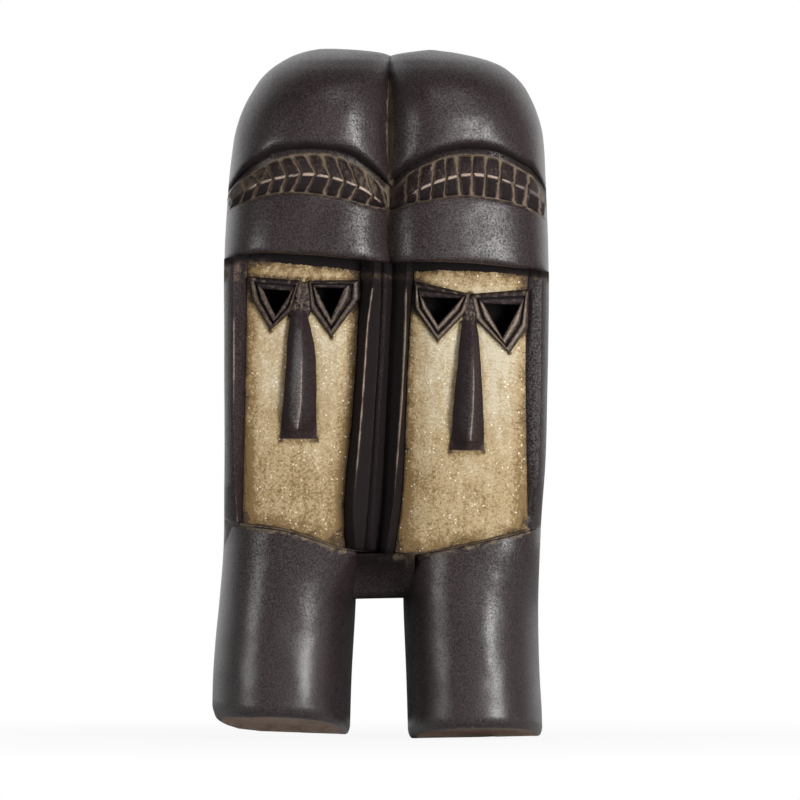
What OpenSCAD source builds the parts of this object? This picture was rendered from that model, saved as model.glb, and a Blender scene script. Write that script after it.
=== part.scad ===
// Twin-faced wall mask, carved from one block of wood, with two textured face coats
// and a strap hanger let into the back.
// Millimetres. +Z up, +Y towards the wall, origin where the wall nail carries the ring.

/* [Block] */
// Height of the carved block
mask_h = 350; // [330:5:370]
// Radius of the crown's outer corners, seen from the front
crown_corner_r = 52; // [44:1:56]
// Depth of the crown at its fullest
crown_depth = 64; // [60:1:68]
// Depth of the forehead below the brow band
forehead_depth = 58; // [56:1:60]
// Depth at the cheeks and the crests of the centre post
cheek_depth = 52; // [50:1:55]

/* [Necks] */
// Height of the slot between the two necks
neck_slot_h = 71; // [60:1:80]
// Depth of a neck, front to back
neck_depth = 50; // [47:1:52]
// How round a neck is across: 2 is an ellipse
neck_square = 2.3; // [2:0.1:2.6]
// Depth of the web between the necks, above the slot
web_depth = 24; // [20:1:26]
// How much higher the left neck's end is at its front than at its back
left_end_rise = 9; // [0:1:12]
// How much higher the right neck's end is at its front than at its back
right_end_rise = 6; // [0:1:12]

/* [Faces] */
// Depth of the face floor at its middle
floor_depth = 44; // [42:0.5:46]
// Radius of the face floor, which is rounded across
floor_r = 120; // [100:10:200]
// Height of the face's top edge
face_top = 240; // [238:0.5:241]
// Slope of the recess walls: how far they open for each millimetre of depth
wall_open = 0.35; // [0.3:0.05:0.5]
// Thickness of the textured face coat
coat_t = 0.6; // [0.4:0.1:1]
// How far the eye frames stand off the floor
frame_h = 3.5; // [2:0.5:5]
// How far a nose's ridge stands off the floor
nose_h = 10; // [8:0.5:12]
// Depth that the blind eye sockets reach down to
socket_floor = 30; // [28:1:33]

/* [Brow bands] */
// Depth of the groove that holds the plait
band_groove = 6; // [5:0.5:8]
// How far the plait stands out of that groove
plait_h = 4; // [2:0.5:5]
// Plait cuts across each band
plait_cuts = 11; // [8:1:14]

/* [Back] */
// Height of the head hollows' top edge
hollow_top = 314; // [296:1:316]
// Height of the head hollows' lower edge
hollow_foot = 92; // [90:1:110]
// Depth of the head hollows
hollow_depth = 24; // [18:1:25]
// Depth of the hollow that joins them
joining_depth = 17; // [10:1:20]

/* [Hanger] */
// Diameter of the ring's wire
ring_wire = 2.2; // [2:0.1:2.4]
// Length of the ring's straight side, inside
ring_inner_w = 15; // [14:0.5:16]
// Width of the strap
strap_w = 10; // [9:0.5:11]
// Thickness of the strap's steel
strap_t = 0.8; // [0.6:0.1:0.9]
// Diameter of the wall nail that carries the ring
nail_d = 3; // [2:0.5:4]

/* [Hidden] */
LEFT = -1;
RIGHT = 1;
eps = 0.01;
big = 400;

wood = "#2e2426";
gold = "#b79c63";
steel = "#b9bcc0";

// --- Hanger layout: the ring's pivot lies below the nail, in a pocket of the block's back.
pocket_depth = 7;
pocket_w = 26;
pocket_clear = 2.5;
pivot_clear = 0.08;
loop_in_r = ring_wire / 2 + pivot_clear;
loop_out_r = loop_in_r + strap_t;
pivot_y = -pocket_depth + loop_out_r;
ring_reach = 12.3;
ring_lean = 3;
nail_above_pivot = ring_reach - ring_wire / 2 - nail_d / 2;
strap_tail = 24;
screw_drops = [6, 18];
screw_r = 1.5;
screw_head_r = 3;
screw_head_h = 1.8;
screw_l = 14;
screw_tip = 3;
pilot_r = 1.62;

// --- Heights above the foot of the block. The nail is the part's origin.
nail_z = mask_h - 27.5;
crown_corner_z = mask_h - crown_corner_r;
brow_z = face_top + 3;
neck_top = 116;
head_foot = 88;

// --- The two halves differ, as hand carving does. Each list holds [height, value] pairs.
outer_keys = [
    [[0, 88.5], [20, 88.5], [70, 86], [108, 83.5], [150, 83], [brow_z, 82.5], [crown_corner_z, 81]],
    [[0, 79], [20, 79], [50, 77], [94, 77.5], [112, 79], [140, 81], [200, 82.5], [brow_z, 82.5], [crown_corner_z, 80.5]]
];
slot_keys = [[[0, 18.9], [neck_slot_h, 15.8]], [[0, 10.7], [neck_slot_h, 8.2]]];
end_foot = [2.5, 0];
end_rise = [left_end_rise, right_end_rise];
end_tilt = [3, 1.5];
// Where the two heads meet, and how far each laps into the other.
middle_keys = [[head_foot, -6], [face_top, 1.5], [mask_h, 1.5]];
head_lap = 8;
// Depth of a head's section and how square it is, by height.
depth_keys = [
    [head_foot, web_depth], [head_foot + 4, cheek_depth - 14], [head_foot + 8, cheek_depth - 6.5],
    [head_foot + 14, cheek_depth - 2], [head_foot + 24, cheek_depth], [brow_z - 1, cheek_depth],
    [brow_z, forehead_depth - 2], [254, forehead_depth], [268, forehead_depth - 1],
    [284, crown_depth - 4], [302, crown_depth], [316, crown_depth - 1.5], [328, crown_depth - 8],
    [337, crown_depth - 17], [344, crown_depth - 29], [348, crown_depth - 41], [mask_h, crown_depth - 54]
];
square_keys = [[head_foot, 2.6], [head_foot + 8, 3], [112, 4], [128, 6], [brow_z - 1, 6], [brow_z, 3.2], [290, 2.7], [mask_h, 2.4]];
levels = [head_foot, 90, 92, 94, 96, 99, 102, 106, 112, 120, 128, 160, 200, brow_z - 1, brow_z, 248, 254, 261, 268, 276, 284, 293, 302,
    309, 316, 322, 328, 333, 337, 341, 344, 346.5, 348.5, mask_h];
arc_steps = 26;

// --- Face layout: [x at the top, x at the foot] of each floor's inner and outer edge, and the foot's heights.
floor_inner = [[-12.5, -20.5], [13.5, 5]];
floor_outer = [[-71, -71], [71, 68]];
floor_foot_outer = [109, 106];
floor_foot_inner = [99, 96];
face_mid = [-44, 42];

// --- Centre post: [x at the top, x at the foot, depth] of its crests, the ridge between them and the two hollows.
post_top = face_top + 2;
post_foot = 95;
crest_left = [-6.6, -17.3, cheek_depth];
hollow_left = [-3.6, -12, cheek_depth - 5];
mid_ridge = [-1.5, -7.7, cheek_depth - 3.5];
valley = [2.8, -4.2, cheek_depth - 9];
crest_right = [9.7, 2, cheek_depth];

// --- Eyes: [top outer corner, top inner corner, bottom corner] of each socket, in x and z.
eye_sockets = [
    [[-62.5, 227.5], [-47.5, 226.5], [-55.3, 215.5]],
    [[-36, 227.5], [-21.5, 227.2], [-27.8, 213.5]],
    [[17, 224], [33, 223], [25.6, 211.5]],
    [[48, 220], [66, 219.8], [58, 206]]
];
// Each frame's outline, in the same order of corners.
eye_outlines = [
    [[-71.5, 234], [-40.5, 232], [-57.8, 206]],
    [[-40, 232], [-12.5, 230], [-28, 203]],
    [[12.5, 231], [41.5, 226.5], [25, 201]],
    [[43, 226], [71.5, 225.5], [62, 194.5]]
];

// --- Noses: [top x, top z, foot x, foot z], and half widths at the top and the foot.
noses = [[-44.3, 217, -44.8, 151.5], [42, 211.5, 40, 145.5]];
nose_half = [4, 9];

// --- Brow bands: arcs over each head, as [radius, height of the highest point].
band_mid = [-39.5, 42.5];
band_low = [85, 277.5];
band_high = [53, 299];
// Where the groove fades out towards the sides and dips under the middle groove.
band_fade = [77, 78];

function side_i(side) = side < 0 ? 0 : 1;
function lerp(a, b, t) = a + (b - a) * t;
function floor_at(side, x) = floor_depth - floor_r + sqrt(pow(floor_r, 2) - pow(x - face_mid[side_i(side)], 2));

// Outer and inner edge of a head or a neck at a height.
function corner_in(z, from, r) = z <= from ? 0 : r - sqrt(max(0, r * r - pow(min(z - from, r), 2)));
function outer_x(side, z) = side * (lookup(z, outer_keys[side_i(side)]) - corner_in(z, crown_corner_z, crown_corner_r));
function slot_x(side, z) = side * lookup(z, slot_keys[side_i(side)]);
function head_inner_x(side, z) = lookup(z, middle_keys) - side * (head_lap - corner_in(z, mask_h - 12, 12) * 0.9);

// One D-shaped section between two edges: flat at the back, a squared-off arc at the front.
function arc_y(t, n) = pow(max(0, 1 - pow(abs(t), n)), 1 / n);
function section(from_x, to_x, depth, n, z) = [for (i = [0 : arc_steps])
    let (t = -cos(180 * i / arc_steps)) [lerp(from_x, to_x, (t + 1) / 2), -depth * arc_y(t, n), z]];

// A rounded rectangle in x and z at a depth.
function rounded(mid, size, r, depth) = [for (corner = [0 : 3]) for (i = [0 : 5])
    let (a = 90 * corner + 18 * i, sx = corner == 0 || corner == 3 ? 1 : -1, sz = corner < 2 ? 1 : -1)
    [mid[0] + sx * (size[0] / 2 - r) + r * cos(a), -depth, mid[1] + sz * (size[1] / 2 - r) + r * sin(a)]];

// A solid through sections of equal point count, listed from low to high.
module loft(sections, mirrored) {
    rows = len(sections);
    n = len(sections[0]);
    points = [for (s = sections) for (p = s) p];
    sides = [for (r = [0 : rows - 2]) for (i = [0 : n - 1])
        let (a = r * n + i, b = r * n + (i + 1) % n, c = (r + 1) * n + (i + 1) % n, e = (r + 1) * n + i)
        for (f = [[a, c, b], [a, e, c]]) f];
    ends = [[for (i = [0 : n - 1]) i], [for (i = [n - 1 : -1 : 0]) (rows - 1) * n + i]];
    faces = concat(sides, ends);
    polyhedron(points, mirrored ? [for (f = faces) [for (i = [len(f) - 1 : -1 : 0]) f[i]]] : faces, convexity = 6);
}

// One neck, and the head above it. sink lowers a head's front.
module neck(side) {
    loft([for (z = [0, 20, 50, neck_slot_h, 94, neck_top])
        section(slot_x(side, z), outer_x(side, z), neck_depth, neck_square, z)], side < 0);
}

module head(side, sink = 0) {
    loft([for (z = levels) section(head_inner_x(side, z), outer_x(side, z),
        max(1, lookup(z, depth_keys) - sink), lookup(z, square_keys), z)], side < 0);
}

// The flat web that joins the necks above the slot.
module web() {
    from_x = slot_x(LEFT, neck_slot_h) - 6;
    translate([from_x, -web_depth, neck_slot_h]) cube([slot_x(RIGHT, neck_slot_h) + 6 - from_x, web_depth, head_foot - neck_slot_h + 6]);
}

// Draws children, which lie in x and z, as a solid from one depth to another.
module through(from, to) {
    translate([0, -from, 0]) rotate([90, 0, 0]) linear_extrude(to - from) children();
}

// The rounded surface of a face's floor, raised by a height.
module floor_round(side, raise = 0) {
    translate([face_mid[side_i(side)], floor_r - floor_depth, -eps])
        cylinder(r = floor_r + raise, h = mask_h, $fn = 160);
}

module face_outline(side, grow = 0) {
    i = side_i(side);
    bend_x = lerp(floor_inner[i][1], floor_outer[i][1], 0.45);
    offset(delta = grow) polygon([[floor_outer[i][0], face_top], [floor_inner[i][0], face_top],
        [floor_inner[i][1], floor_foot_inner[i]], [bend_x, floor_foot_inner[i] + 3.5],
        [floor_outer[i][1], floor_foot_outer[i]]]);
}

// The sunk face: slanted walls down to a rounded floor, and a straight step at the brow.
module face_recess(side) {
    rise = cheek_depth - floor_depth + 8;
    difference() {
        intersection() {
            hull() {
                through(floor_depth - 8, floor_depth - 3) face_outline(side);
                through(floor_depth - 3 + rise, floor_depth + rise) face_outline(side, wall_open * rise);
            }
            through(0, big) translate([-big / 2, 0]) square([big, face_top]);
        }
        floor_round(side);
    }
}

// A long V cut along the centre post, between two of its lines.
module post_cut(one, bottom, other) {
    hull() {
        for (end = [[0, post_top], [1, post_foot]]) {
            translate([bottom[end[0]], -bottom[2], end[1]]) cube([0.4, 0.4, 1], center = true);
            for (line = [one, other])
                translate([line[end[0]] + (line[end[0]] - bottom[end[0]]) * 0.6, -line[2] - (line[2] - bottom[2]) * 0.6, end[1]])
                    cube([0.4, 0.4, 1], center = true);
        }
    }
}

module band_outline(side) {
    i = side_i(side);
    intersection() {
        translate([band_mid[i], band_high[1] - band_high[0]]) circle(band_high[0], $fn = 96);
        difference() {
            translate([side < 0 ? -band_fade[0] : -4, 250]) square([band_fade[i] + 4, 60]);
            translate([band_mid[i], band_low[1] - band_low[0]]) circle(band_low[0], $fn = 128);
        }
    }
}

module brow_groove(side) {
    difference() {
        through(10, big) band_outline(side);
        head(side, band_groove);
    }
}

// The plait: a raised band, cut across in two rows of slanted strokes.
module plait(side) {
    i = side_i(side);
    mid = [band_mid[i], (band_low[1] + band_high[1]) / 2];
    arc_r = (band_low[0] + band_high[0]) / 2 + 2;
    spread = 64;
    difference() {
        intersection() {
            through(10, big) offset(delta = -1.6) band_outline(side);
            head(side, band_groove - plait_h);
        }
        for (k = [0 : plait_cuts - 1], half = [-1, 1])
            let (a = lerp(-spread / 2, spread / 2, (k + 0.5) / plait_cuts))
            translate([mid[0] + arc_r * sin(a), 0, mid[1] - arc_r * (1 - cos(a)) + half * 5])
            rotate([0, a + half * 12, 0])
            translate([-0.6, -big, -5.4]) cube([1.2, big - 10, 10.8]);
    }
}

module eye_frame(side, outline) {
    intersection() {
        through(floor_depth - 8, floor_depth + 10) polygon(outline);
        floor_round(side, frame_h);
    }
}

module nose_outline(n, grow = 0) {
    offset(delta = grow) polygon([[n[0] - nose_half[0], n[1]], [n[0] + nose_half[0], n[1]],
        [n[2] + nose_half[1] - 1, lerp(n[3], n[1], 0.5)], [n[2] + nose_half[1], n[3]],
        [n[2] - nose_half[1], n[3]], [n[2] - nose_half[1] + 1, lerp(n[3], n[1], 0.5)]]);
}

// A nose: upright sides, then facets up to a ridge that stops short of the tip.
module nose(n) {
    hull() {
        through(floor_depth - 8, floor_depth + nose_h - 6) nose_outline(n);
        translate([n[0] + 1, -floor_depth - nose_h + 3, n[1] - 2]) cube([0.6, 0.4, 1], center = true);
        translate([n[2] + 1, -floor_depth - nose_h, n[3] + 6]) cube([0.6, 0.4, 1], center = true);
    }
}

// One head's hollow, open at the back, and the shallower one that joins the two.
module hollow(mid, size, r, depth) {
    loft([for (k = [[-1, 0], [0.5, 0], [0.8, 0.12], [1, 0.3]])
        rounded(mid, [size[0] - 2 * r * k[1], size[1] - 2 * r * k[1]], r * (1 - k[1]), depth * k[0])], false);
}

// The slanted end of a neck, higher at the front and at the outer side.
module neck_cut(side) {
    i = side_i(side);
    multmatrix([[1, 0, 0, 0], [0, 1, 0, 0], [side * end_tilt[i] / 80, -end_rise[i] / neck_depth, 1, end_foot[i]], [0, 0, 0, 1]])
        translate([side < 0 ? -100 : 0, -80, -50]) cube([100, 100, 50]);
}

module hanger_pocket() {
    low = nail_z - nail_above_pivot - strap_tail - pocket_clear;
    high = nail_z - nail_above_pivot + ring_reach + ring_wire / 2 + pocket_clear;
    translate([-pocket_w / 2, -pocket_depth, low]) cube([pocket_w, pocket_depth + 1, high - low]);
}

module screw_places() {
    for (drop = screw_drops) translate([0, 0, -nail_above_pivot - drop]) children();
}

// Everything carved on the front, as one skin: resize() with zeros keeps its size.
module carved_front() {
    resize([0, 0, 0]) difference() {
        union() {
            difference() {
                union() {
                    for (side = [LEFT, RIGHT]) {
                        head(side);
                        neck(side);
                    }
                    web();
                }
                for (side = [LEFT, RIGHT]) {
                    face_recess(side);
                    brow_groove(side);
                }
                post_cut(crest_left, hollow_left, mid_ridge);
                post_cut(mid_ridge, valley, crest_right);
            }
            for (side = [LEFT, RIGHT]) {
                plait(side);
                nose(noses[side_i(side)]);
                for (e = [0, 1]) eye_frame(side, eye_outlines[2 * side_i(side) + e]);
            }
        }
        for (corners = eye_sockets) through(socket_floor, 60) polygon(corners);
        for (side = [LEFT, RIGHT]) neck_cut(side);
    }
}

module carved_body() {
    middle = (hollow_top + hollow_foot) / 2;
    color(wood) translate([0, 0, -nail_z]) difference() {
        carved_front();
        for (side = [LEFT, RIGHT]) hollow([side * 44, middle], [54, hollow_top - hollow_foot], 20, hollow_depth);
        hollow([0, middle - 14], [60, hollow_top - hollow_foot - 56], 16, joining_depth);
        hanger_pocket();
        translate([0, -pocket_depth + 1, nail_z]) screw_places() rotate([90, 0, 0]) cylinder(r = pilot_r, h = screw_l + 1, $fn = 24);
    }
}

module face_coat(side) {
    color(gold) translate([0, 0, -nail_z]) difference() {
        intersection() {
            through(floor_depth - 10, floor_depth + 5) face_outline(side, -0.4);
            floor_round(side, coat_t);
        }
        floor_round(side);
        through(0, big) nose_outline(noses[side_i(side)], 0.2);
        for (e = [0, 1]) through(0, big) offset(delta = 0.2) polygon(eye_outlines[2 * side_i(side) + e]);
    }
}

module left_face_coat() {
    face_coat(LEFT);
}

module right_face_coat() {
    face_coat(RIGHT);
}

// A strap folded round the ring's straight side, its two layers lying on the pocket's floor.
module hanger_strap() {
    color(steel) difference() {
        union() {
            translate([0, pivot_y, -nail_above_pivot]) rotate([0, 90, 0])
                cylinder(r = loop_out_r, h = strap_w, center = true, $fn = 48);
            translate([-strap_w / 2, -pocket_depth, -nail_above_pivot - strap_tail])
                cube([strap_w, 2 * strap_t, strap_tail]);
        }
        translate([0, pivot_y, -nail_above_pivot]) rotate([0, 90, 0])
            cylinder(r = loop_in_r, h = strap_w + 2, center = true, $fn = 48);
        translate([0, -pocket_depth + 2 * strap_t + 1, 0]) screw_places() rotate([90, 0, 0])
            cylinder(r = pilot_r, h = 2 * strap_t + 2, $fn = 32);
    }
}

// A D-shaped ring: a straight side through the strap, and a bow over the nail.
module hanger_ring() {
    corner = ring_inner_w / 2 + ring_wire / 2;
    straight = ring_reach - corner;
    color(steel) translate([0, pivot_y, -nail_above_pivot]) rotate([ring_lean, 0, 0]) {
        rotate([0, 90, 0]) cylinder(d = ring_wire, h = 2 * corner, center = true, $fn = 32);
        for (s = [-1, 1]) translate([s * corner, 0, 0]) {
            sphere(d = ring_wire, $fn = 32);
            cylinder(d = ring_wire, h = straight, $fn = 32);
        }
        translate([0, 0, straight]) rotate([90, 0, 0]) rotate_extrude(angle = 180, $fn = 64)
            translate([corner, 0]) circle(d = ring_wire, $fn = 32);
    }
}

module hanger_screws() {
    color(steel) screw_places() translate([0, -pocket_depth + 2 * strap_t, 0]) rotate([90, 0, 0]) {
        cylinder(r = screw_r, h = screw_l - screw_tip, $fn = 32);
        translate([0, 0, screw_l - screw_tip]) cylinder(r1 = screw_r, r2 = 0.2, h = screw_tip, $fn = 32);
        translate([0, 0, -screw_head_h]) cylinder(r = screw_head_r, h = screw_head_h, $fn = 32);
    }
}

carved_body();
left_face_coat();
right_face_coat();
hanger_strap();
hanger_ring();
hanger_screws();
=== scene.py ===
"""A carved wooden wall mask with two faces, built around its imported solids."""
import math
from types import SimpleNamespace

import bpy
import numpy as np
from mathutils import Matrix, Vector


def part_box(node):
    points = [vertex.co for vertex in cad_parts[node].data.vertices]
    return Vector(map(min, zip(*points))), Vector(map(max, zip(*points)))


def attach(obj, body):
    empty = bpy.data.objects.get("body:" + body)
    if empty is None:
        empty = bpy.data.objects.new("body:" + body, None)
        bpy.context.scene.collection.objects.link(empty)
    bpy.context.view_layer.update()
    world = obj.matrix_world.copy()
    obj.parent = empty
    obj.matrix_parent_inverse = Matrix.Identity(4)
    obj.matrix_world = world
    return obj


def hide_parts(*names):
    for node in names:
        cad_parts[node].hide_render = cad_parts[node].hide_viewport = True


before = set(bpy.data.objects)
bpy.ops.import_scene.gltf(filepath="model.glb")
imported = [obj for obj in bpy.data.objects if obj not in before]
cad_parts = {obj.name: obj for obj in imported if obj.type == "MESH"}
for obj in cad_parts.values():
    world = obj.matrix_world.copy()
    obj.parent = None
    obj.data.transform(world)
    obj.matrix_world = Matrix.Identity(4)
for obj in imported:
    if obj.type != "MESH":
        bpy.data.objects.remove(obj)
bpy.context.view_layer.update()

bl_info = {
    "name": "Carved twin-face mask",
    "version": (1, 0, 0),
    "blender": (4, 5, 0),
    "location": "3D View > Sidebar > Mask",
    "description": "Builds a carved wooden wall mask with two faces, and its stage",
    "category": "Add Mesh",
}

# Lengths below are in millimetres. Heights are above the foot, whose height from the wall nail is FOOT.
FOOT = 1000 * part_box("carved_body")[0].z
MM = 0.001
# The left head and neck are side -1, and the right ones side 1.
SIDES = (-1, 1)
# How far each head reaches past the other behind their meeting line, and both reach behind the flat back.
BACK_LAP = 8.0
BACK_SPARE = 0.6
# Heights where the faces end and the foreheads start, and between which the faces' upright lines are given.
FACE_TOP, FOREHEAD_LOW = 240.0, 241.0
PANEL_LOW, PANEL_HIGH = 96.0, 242.0
# The cheeks' full depth in the tables below, the middle of the slot between the necks, and the necks' ends.
FULL_CHEEK = 52.0
SLOT_MID = -4.0
NECK_FOOT = {-1: 2.5, 1: 0.2}
# The block's finishes, in the order that carving_finishes gives them.
STAINED, BARE = 0, 1


# ---------------------------------------------------------------- user values

def length(name, description, default, low, high):
    return bpy.props.FloatProperty(name=name, description=description, default=default, min=low, max=high,
                                   unit="LENGTH")


class MaskSizes(bpy.types.PropertyGroup):
    crown_depth: length("Crown depth", "Depth of the crowns at their fullest", 0.064, 0.06, 0.068)
    forehead_depth: length("Forehead depth", "Depth of the foreheads", 0.0585, 0.056, 0.06)
    cheek_depth: length("Cheek depth", "Depth of the crests beside the faces", 0.052, 0.05, 0.055)
    neck_depth: length("Neck depth", "Depth of the two necks", 0.05, 0.047, 0.052)
    floor_depth: length("Face floor depth", "Depth of the sunk face floors", 0.044, 0.042, 0.046)
    floor_radius: length("Face floor radius", "Radius of the rounded face floors", 0.12, 0.1, 0.2)
    coat_thickness: length("Coat thickness", "Thickness of the sandy coats", 0.0006, 0.0004, 0.001)
    frame_height: length("Eye frame height", "How far the eye frames stand proud", 0.0036, 0.002, 0.005)
    nose_height: length("Nose height", "How far the nose ridges stand proud", 0.0098, 0.008, 0.012)
    groove_depth: length("Band groove depth", "Depth of the floor of the brow grooves", 0.0535, 0.053, 0.056)
    plait_height: length("Plait height", "How far the plait's rib stands up", 0.0038, 0.002, 0.005)
    cut_spacing: length("Plait cut spacing", "Distance between the plait's cuts", 0.0072, 0.006, 0.009)
    socket_floor: length("Eye socket floor", "Depth that the eye sockets reach down to", 0.03, 0.028, 0.033)


def sizes_in_mm(context):
    """The user's sizes, in millimetres."""
    sizes = context.scene.mask_sizes
    return SimpleNamespace(**{key: getattr(sizes, key) * 1000 for key in MaskSizes.__annotations__})


def colour(name, description, rgb):
    return bpy.props.FloatVectorProperty(name=name, description=description, subtype="COLOR", size=3,
                                         default=rgb, min=0.0, max=1.0)


class MaskColours(bpy.types.PropertyGroup):
    stain: colour("Stain", "Dark brown-black stain of the wood", (0.0185, 0.0105, 0.0108))
    stain_red: colour("Red stain", "Reddish stain of the bars and noses", (0.0300, 0.0120, 0.0140))
    # The next colour also paints the highlights on the crests, the neck rims and the nose ridges.
    worn: colour("Worn wood", "Wood where the stain is rubbed off an edge", (0.40, 0.305, 0.245))
    pigment: colour("Pigment", "Tan pigment rubbed into the cuts", (0.172, 0.129, 0.090))
    bare: colour("Bare wood", "Wood of the neck ends and the back", (0.300, 0.225, 0.180))
    gold: colour("Gold sand", "Gold-beige sand of the face coats", (0.375, 0.280, 0.153))
    gold_pale: colour("Pale sand", "Pale patches in the face coats", (0.505, 0.445, 0.325))
    gold_brown: colour("Brown sand", "Brown patches at the coats' edges", (0.170, 0.106, 0.040))
    steel: colour("Plated steel", "Nickel plating of the hanger", (0.56, 0.55, 0.52))
    floor: colour("Floor", "Pale floor under the mask", (0.80, 0.80, 0.80))


# ---------------------------------------------------------------- curves and fields

def smooth_curve(*points):
    """A smooth curve through points, as a function of the first coordinate."""
    xs, ys = np.array(points, float).T
    slopes = np.gradient(ys, xs)

    def at(x):
        x = np.clip(x, xs[0], xs[-1])
        i = np.clip(np.searchsorted(xs, x) - 1, 0, len(xs) - 2)
        w = xs[i + 1] - xs[i]
        t = (x - xs[i]) / w
        return ((1 + 2 * t) * (1 - t) ** 2 * ys[i] + t * (1 - t) ** 2 * w * slopes[i]
                + t * t * (3 - 2 * t) * ys[i + 1] + t * t * (t - 1) * w * slopes[i + 1])
    return at


def polyline(*points):
    """Straight lines through points, as a function of the first coordinate."""
    xs, ys = np.array(points, float).T
    return lambda x: np.interp(x, xs, ys)


def step(low, high, value):
    """Runs smoothly from 0 at low to 1 at high, where high may be the smaller one."""
    t = np.clip((value - low) / (high - low), 0, 1)
    return t * t * (3 - 2 * t)


def lerp(a, b, t):
    return a + (b - a) * t


def waves(x, z, scale, seed, layers=3):
    """A smooth seeded field from -1 to 1, made of crossing waves."""
    rng = np.random.default_rng(seed)
    total, weight = 0.0, 0.0
    for layer in range(layers):
        for _ in range(3):
            a, phase = rng.uniform(0, 2 * np.pi, 2)
            f = 2 * np.pi * 1.7 ** layer / scale
            total = total + np.sin(f * (x * np.cos(a) + z * np.sin(a)) + phase) / 1.5 ** layer
            weight += 1 / 1.5 ** layer
    return total / weight * 1.6


# Silhouette of each half: distance from the middle, by height.
OUTER = {
    -1: smooth_curve(
        (0, 88.8), (15, 88.8), (27, 88.6), (47, 87.4), (72, 85.0), (93, 83.3), (129, 82.5), (200, 82.5),
        (254, 82.2), (270, 81.2), (284, 80.2), (298, 78.6), (306, 77.4), (314, 75.2), (322, 71.9),
        (329, 67.9), (335, 63.8), (340, 58.6), (344, 52.6), (347, 46.5), (349, 40), (350, 35)),
    1: smooth_curve(
        (0, 79.1), (15, 78.6), (30, 77.7), (47, 77.1), (77, 77.0), (98, 77.7), (118, 78.8), (139, 80.3),
        (175, 81.3), (205, 81.9), (246, 82.0), (270, 81.2), (284, 80.6), (300, 79.8), (309, 78.7),
        (317, 76.4), (325, 73.0), (332, 68.8), (337.5, 63.4), (342, 56.5), (344.6, 49.5), (346.7, 41),
        (348.2, 33), (349.0, 26)),
}
# Where the two heads meet, by height.
MEET = smooth_curve(
    (84, -5.0), (95, -4.4), (113, -3.0), (141, -1.6), (170, -0.2), (200, 1.2), (225, 2.5), (241, 2.6),
    (250, 1.6), (275, 1.5), (350, 1.5))
# Height of each head.
TOP = {-1: 350.0, 1: 349.0}
# Inner edge of each head where it closes at the top, as how far it draws back from the other head.
TOP_DRAW = {
    -1: smooth_curve(
        (318, 0), (332, 1), (340, 3.5), (345, 6.8), (347.2, 9.2), (348.5, 15), (349.4, 24), (350, 33)),
    1: smooth_curve(
        (318, 0), (332, 1), (340, 3.5), (345, 6.8), (346.8, 9.2), (347.6, 13), (348.4, 19), (349.0, 25)),
}
# Sides of the slot between the necks: distance from the middle, by height.
SLOT = {
    -1: smooth_curve((0, 18.9), (30, 18.0), (71, 15.8), (116, 15)),
    1: smooth_curve((0, 10.7), (30, 9.8), (71, 8.2), (116, 8)),
}

# Carved lines across each head, as height by x.
CROWN_EDGE = {
    -1: smooth_curve(
        (-83, 273.6), (-80, 277.6), (-77, 281.9), (-66, 291.6), (-57, 296.1), (-48.5, 297.7), (-40, 298.1),
        (-31.6, 297.7), (-24, 296.7), (-17.3, 294.7), (-11, 291.1), (-5.6, 286.9), (1.5, 280.1),
        (10, 273.1)),
    1: smooth_curve(
        (-8, 274.1), (1, 281.7), (10, 288.1), (22, 294.1), (33, 297.3), (44, 298.1), (56, 296.4),
        (67, 291.4), (74.5, 286.6), (78.6, 280.6), (82, 273.6)),
}
TAN_LINE = {
    -1: smooth_curve(
        (-83, 271), (-77.6, 278.2), (-68, 285), (-59.7, 290.1), (-48.5, 293.7), (-37, 294.7),
        (-25.5, 293.5), (-14.3, 288.7), (-5.6, 281.7), (1.5, 273.7), (10, 264.7)),
    1: smooth_curve(
        (-8, 266.7), (1, 275.2), (10, 283.7), (22, 290.3), (33, 293.7), (44, 294.3), (56, 292.5),
        (67, 287.4), (74.5, 282.4), (78.6, 275.6), (82, 268)),
}
RIB = {
    -1: smooth_curve(
        (-83, 268.8), (-75, 274.8), (-65.8, 280), (-57, 282.8), (-48.5, 284.4), (-39, 285.1),
        (-31.6, 284.2), (-22.4, 282), (-15.3, 279.4), (-9.7, 276.4), (-4, 272), (2, 267.4)),
    1: smooth_curve(
        (-4, 265.8), (3, 269.8), (10, 273.8), (19, 278.8), (32, 283.4), (39, 284.8), (47, 284.8),
        (59, 282.2), (65, 279.8), (72, 276.8), (77, 273.4), (82, 267.8)),
}
BAND_LOW = {
    -1: smooth_curve(
        (-83, 263.6), (-78, 268.6), (-71, 271.7), (-63, 274.2), (-54, 275.7), (-43, 275.7), (-31.6, 274.4),
        (-20, 272.2), (-9.7, 269.4), (0, 267.6), (10, 266.4)),
    1: smooth_curve(
        (-8, 266), (2, 267), (10, 269.8), (22, 272.2), (33, 273.9), (44, 274), (56, 272.4), (64, 270.6),
        (73, 267.4), (82, 261.9)),
}
BROW = {
    -1: smooth_curve((-83, 242.9), (-66, 245.3), (-43, 244.7), (-19, 242.7), (0.5, 240.7), (10, 240.5)),
    1: smooth_curve((-8, 240.5), (0.5, 240.5), (22, 241.1), (45, 240.1), (68, 237.7), (83, 236.3)),
}
PANEL_FOOT = {
    -1: smooth_curve(
        (-83, 111.5), (-73, 108.7), (-62, 107.6), (-51, 105.8), (-39, 102.3), (-23, 96.8), (-14, 95.4),
        (0, 95)),
    1: smooth_curve(
        (-12, 93.6), (-1.5, 93.4), (3.6, 93.2), (10, 93.8), (17, 94.4), (33.4, 97), (50, 100.6),
        (73, 106.4), (83, 109.5)),
}

# How far each head's upper surfaces lean to the right.
LEAN = {-1: 0.02, 1: 0.13}
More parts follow.
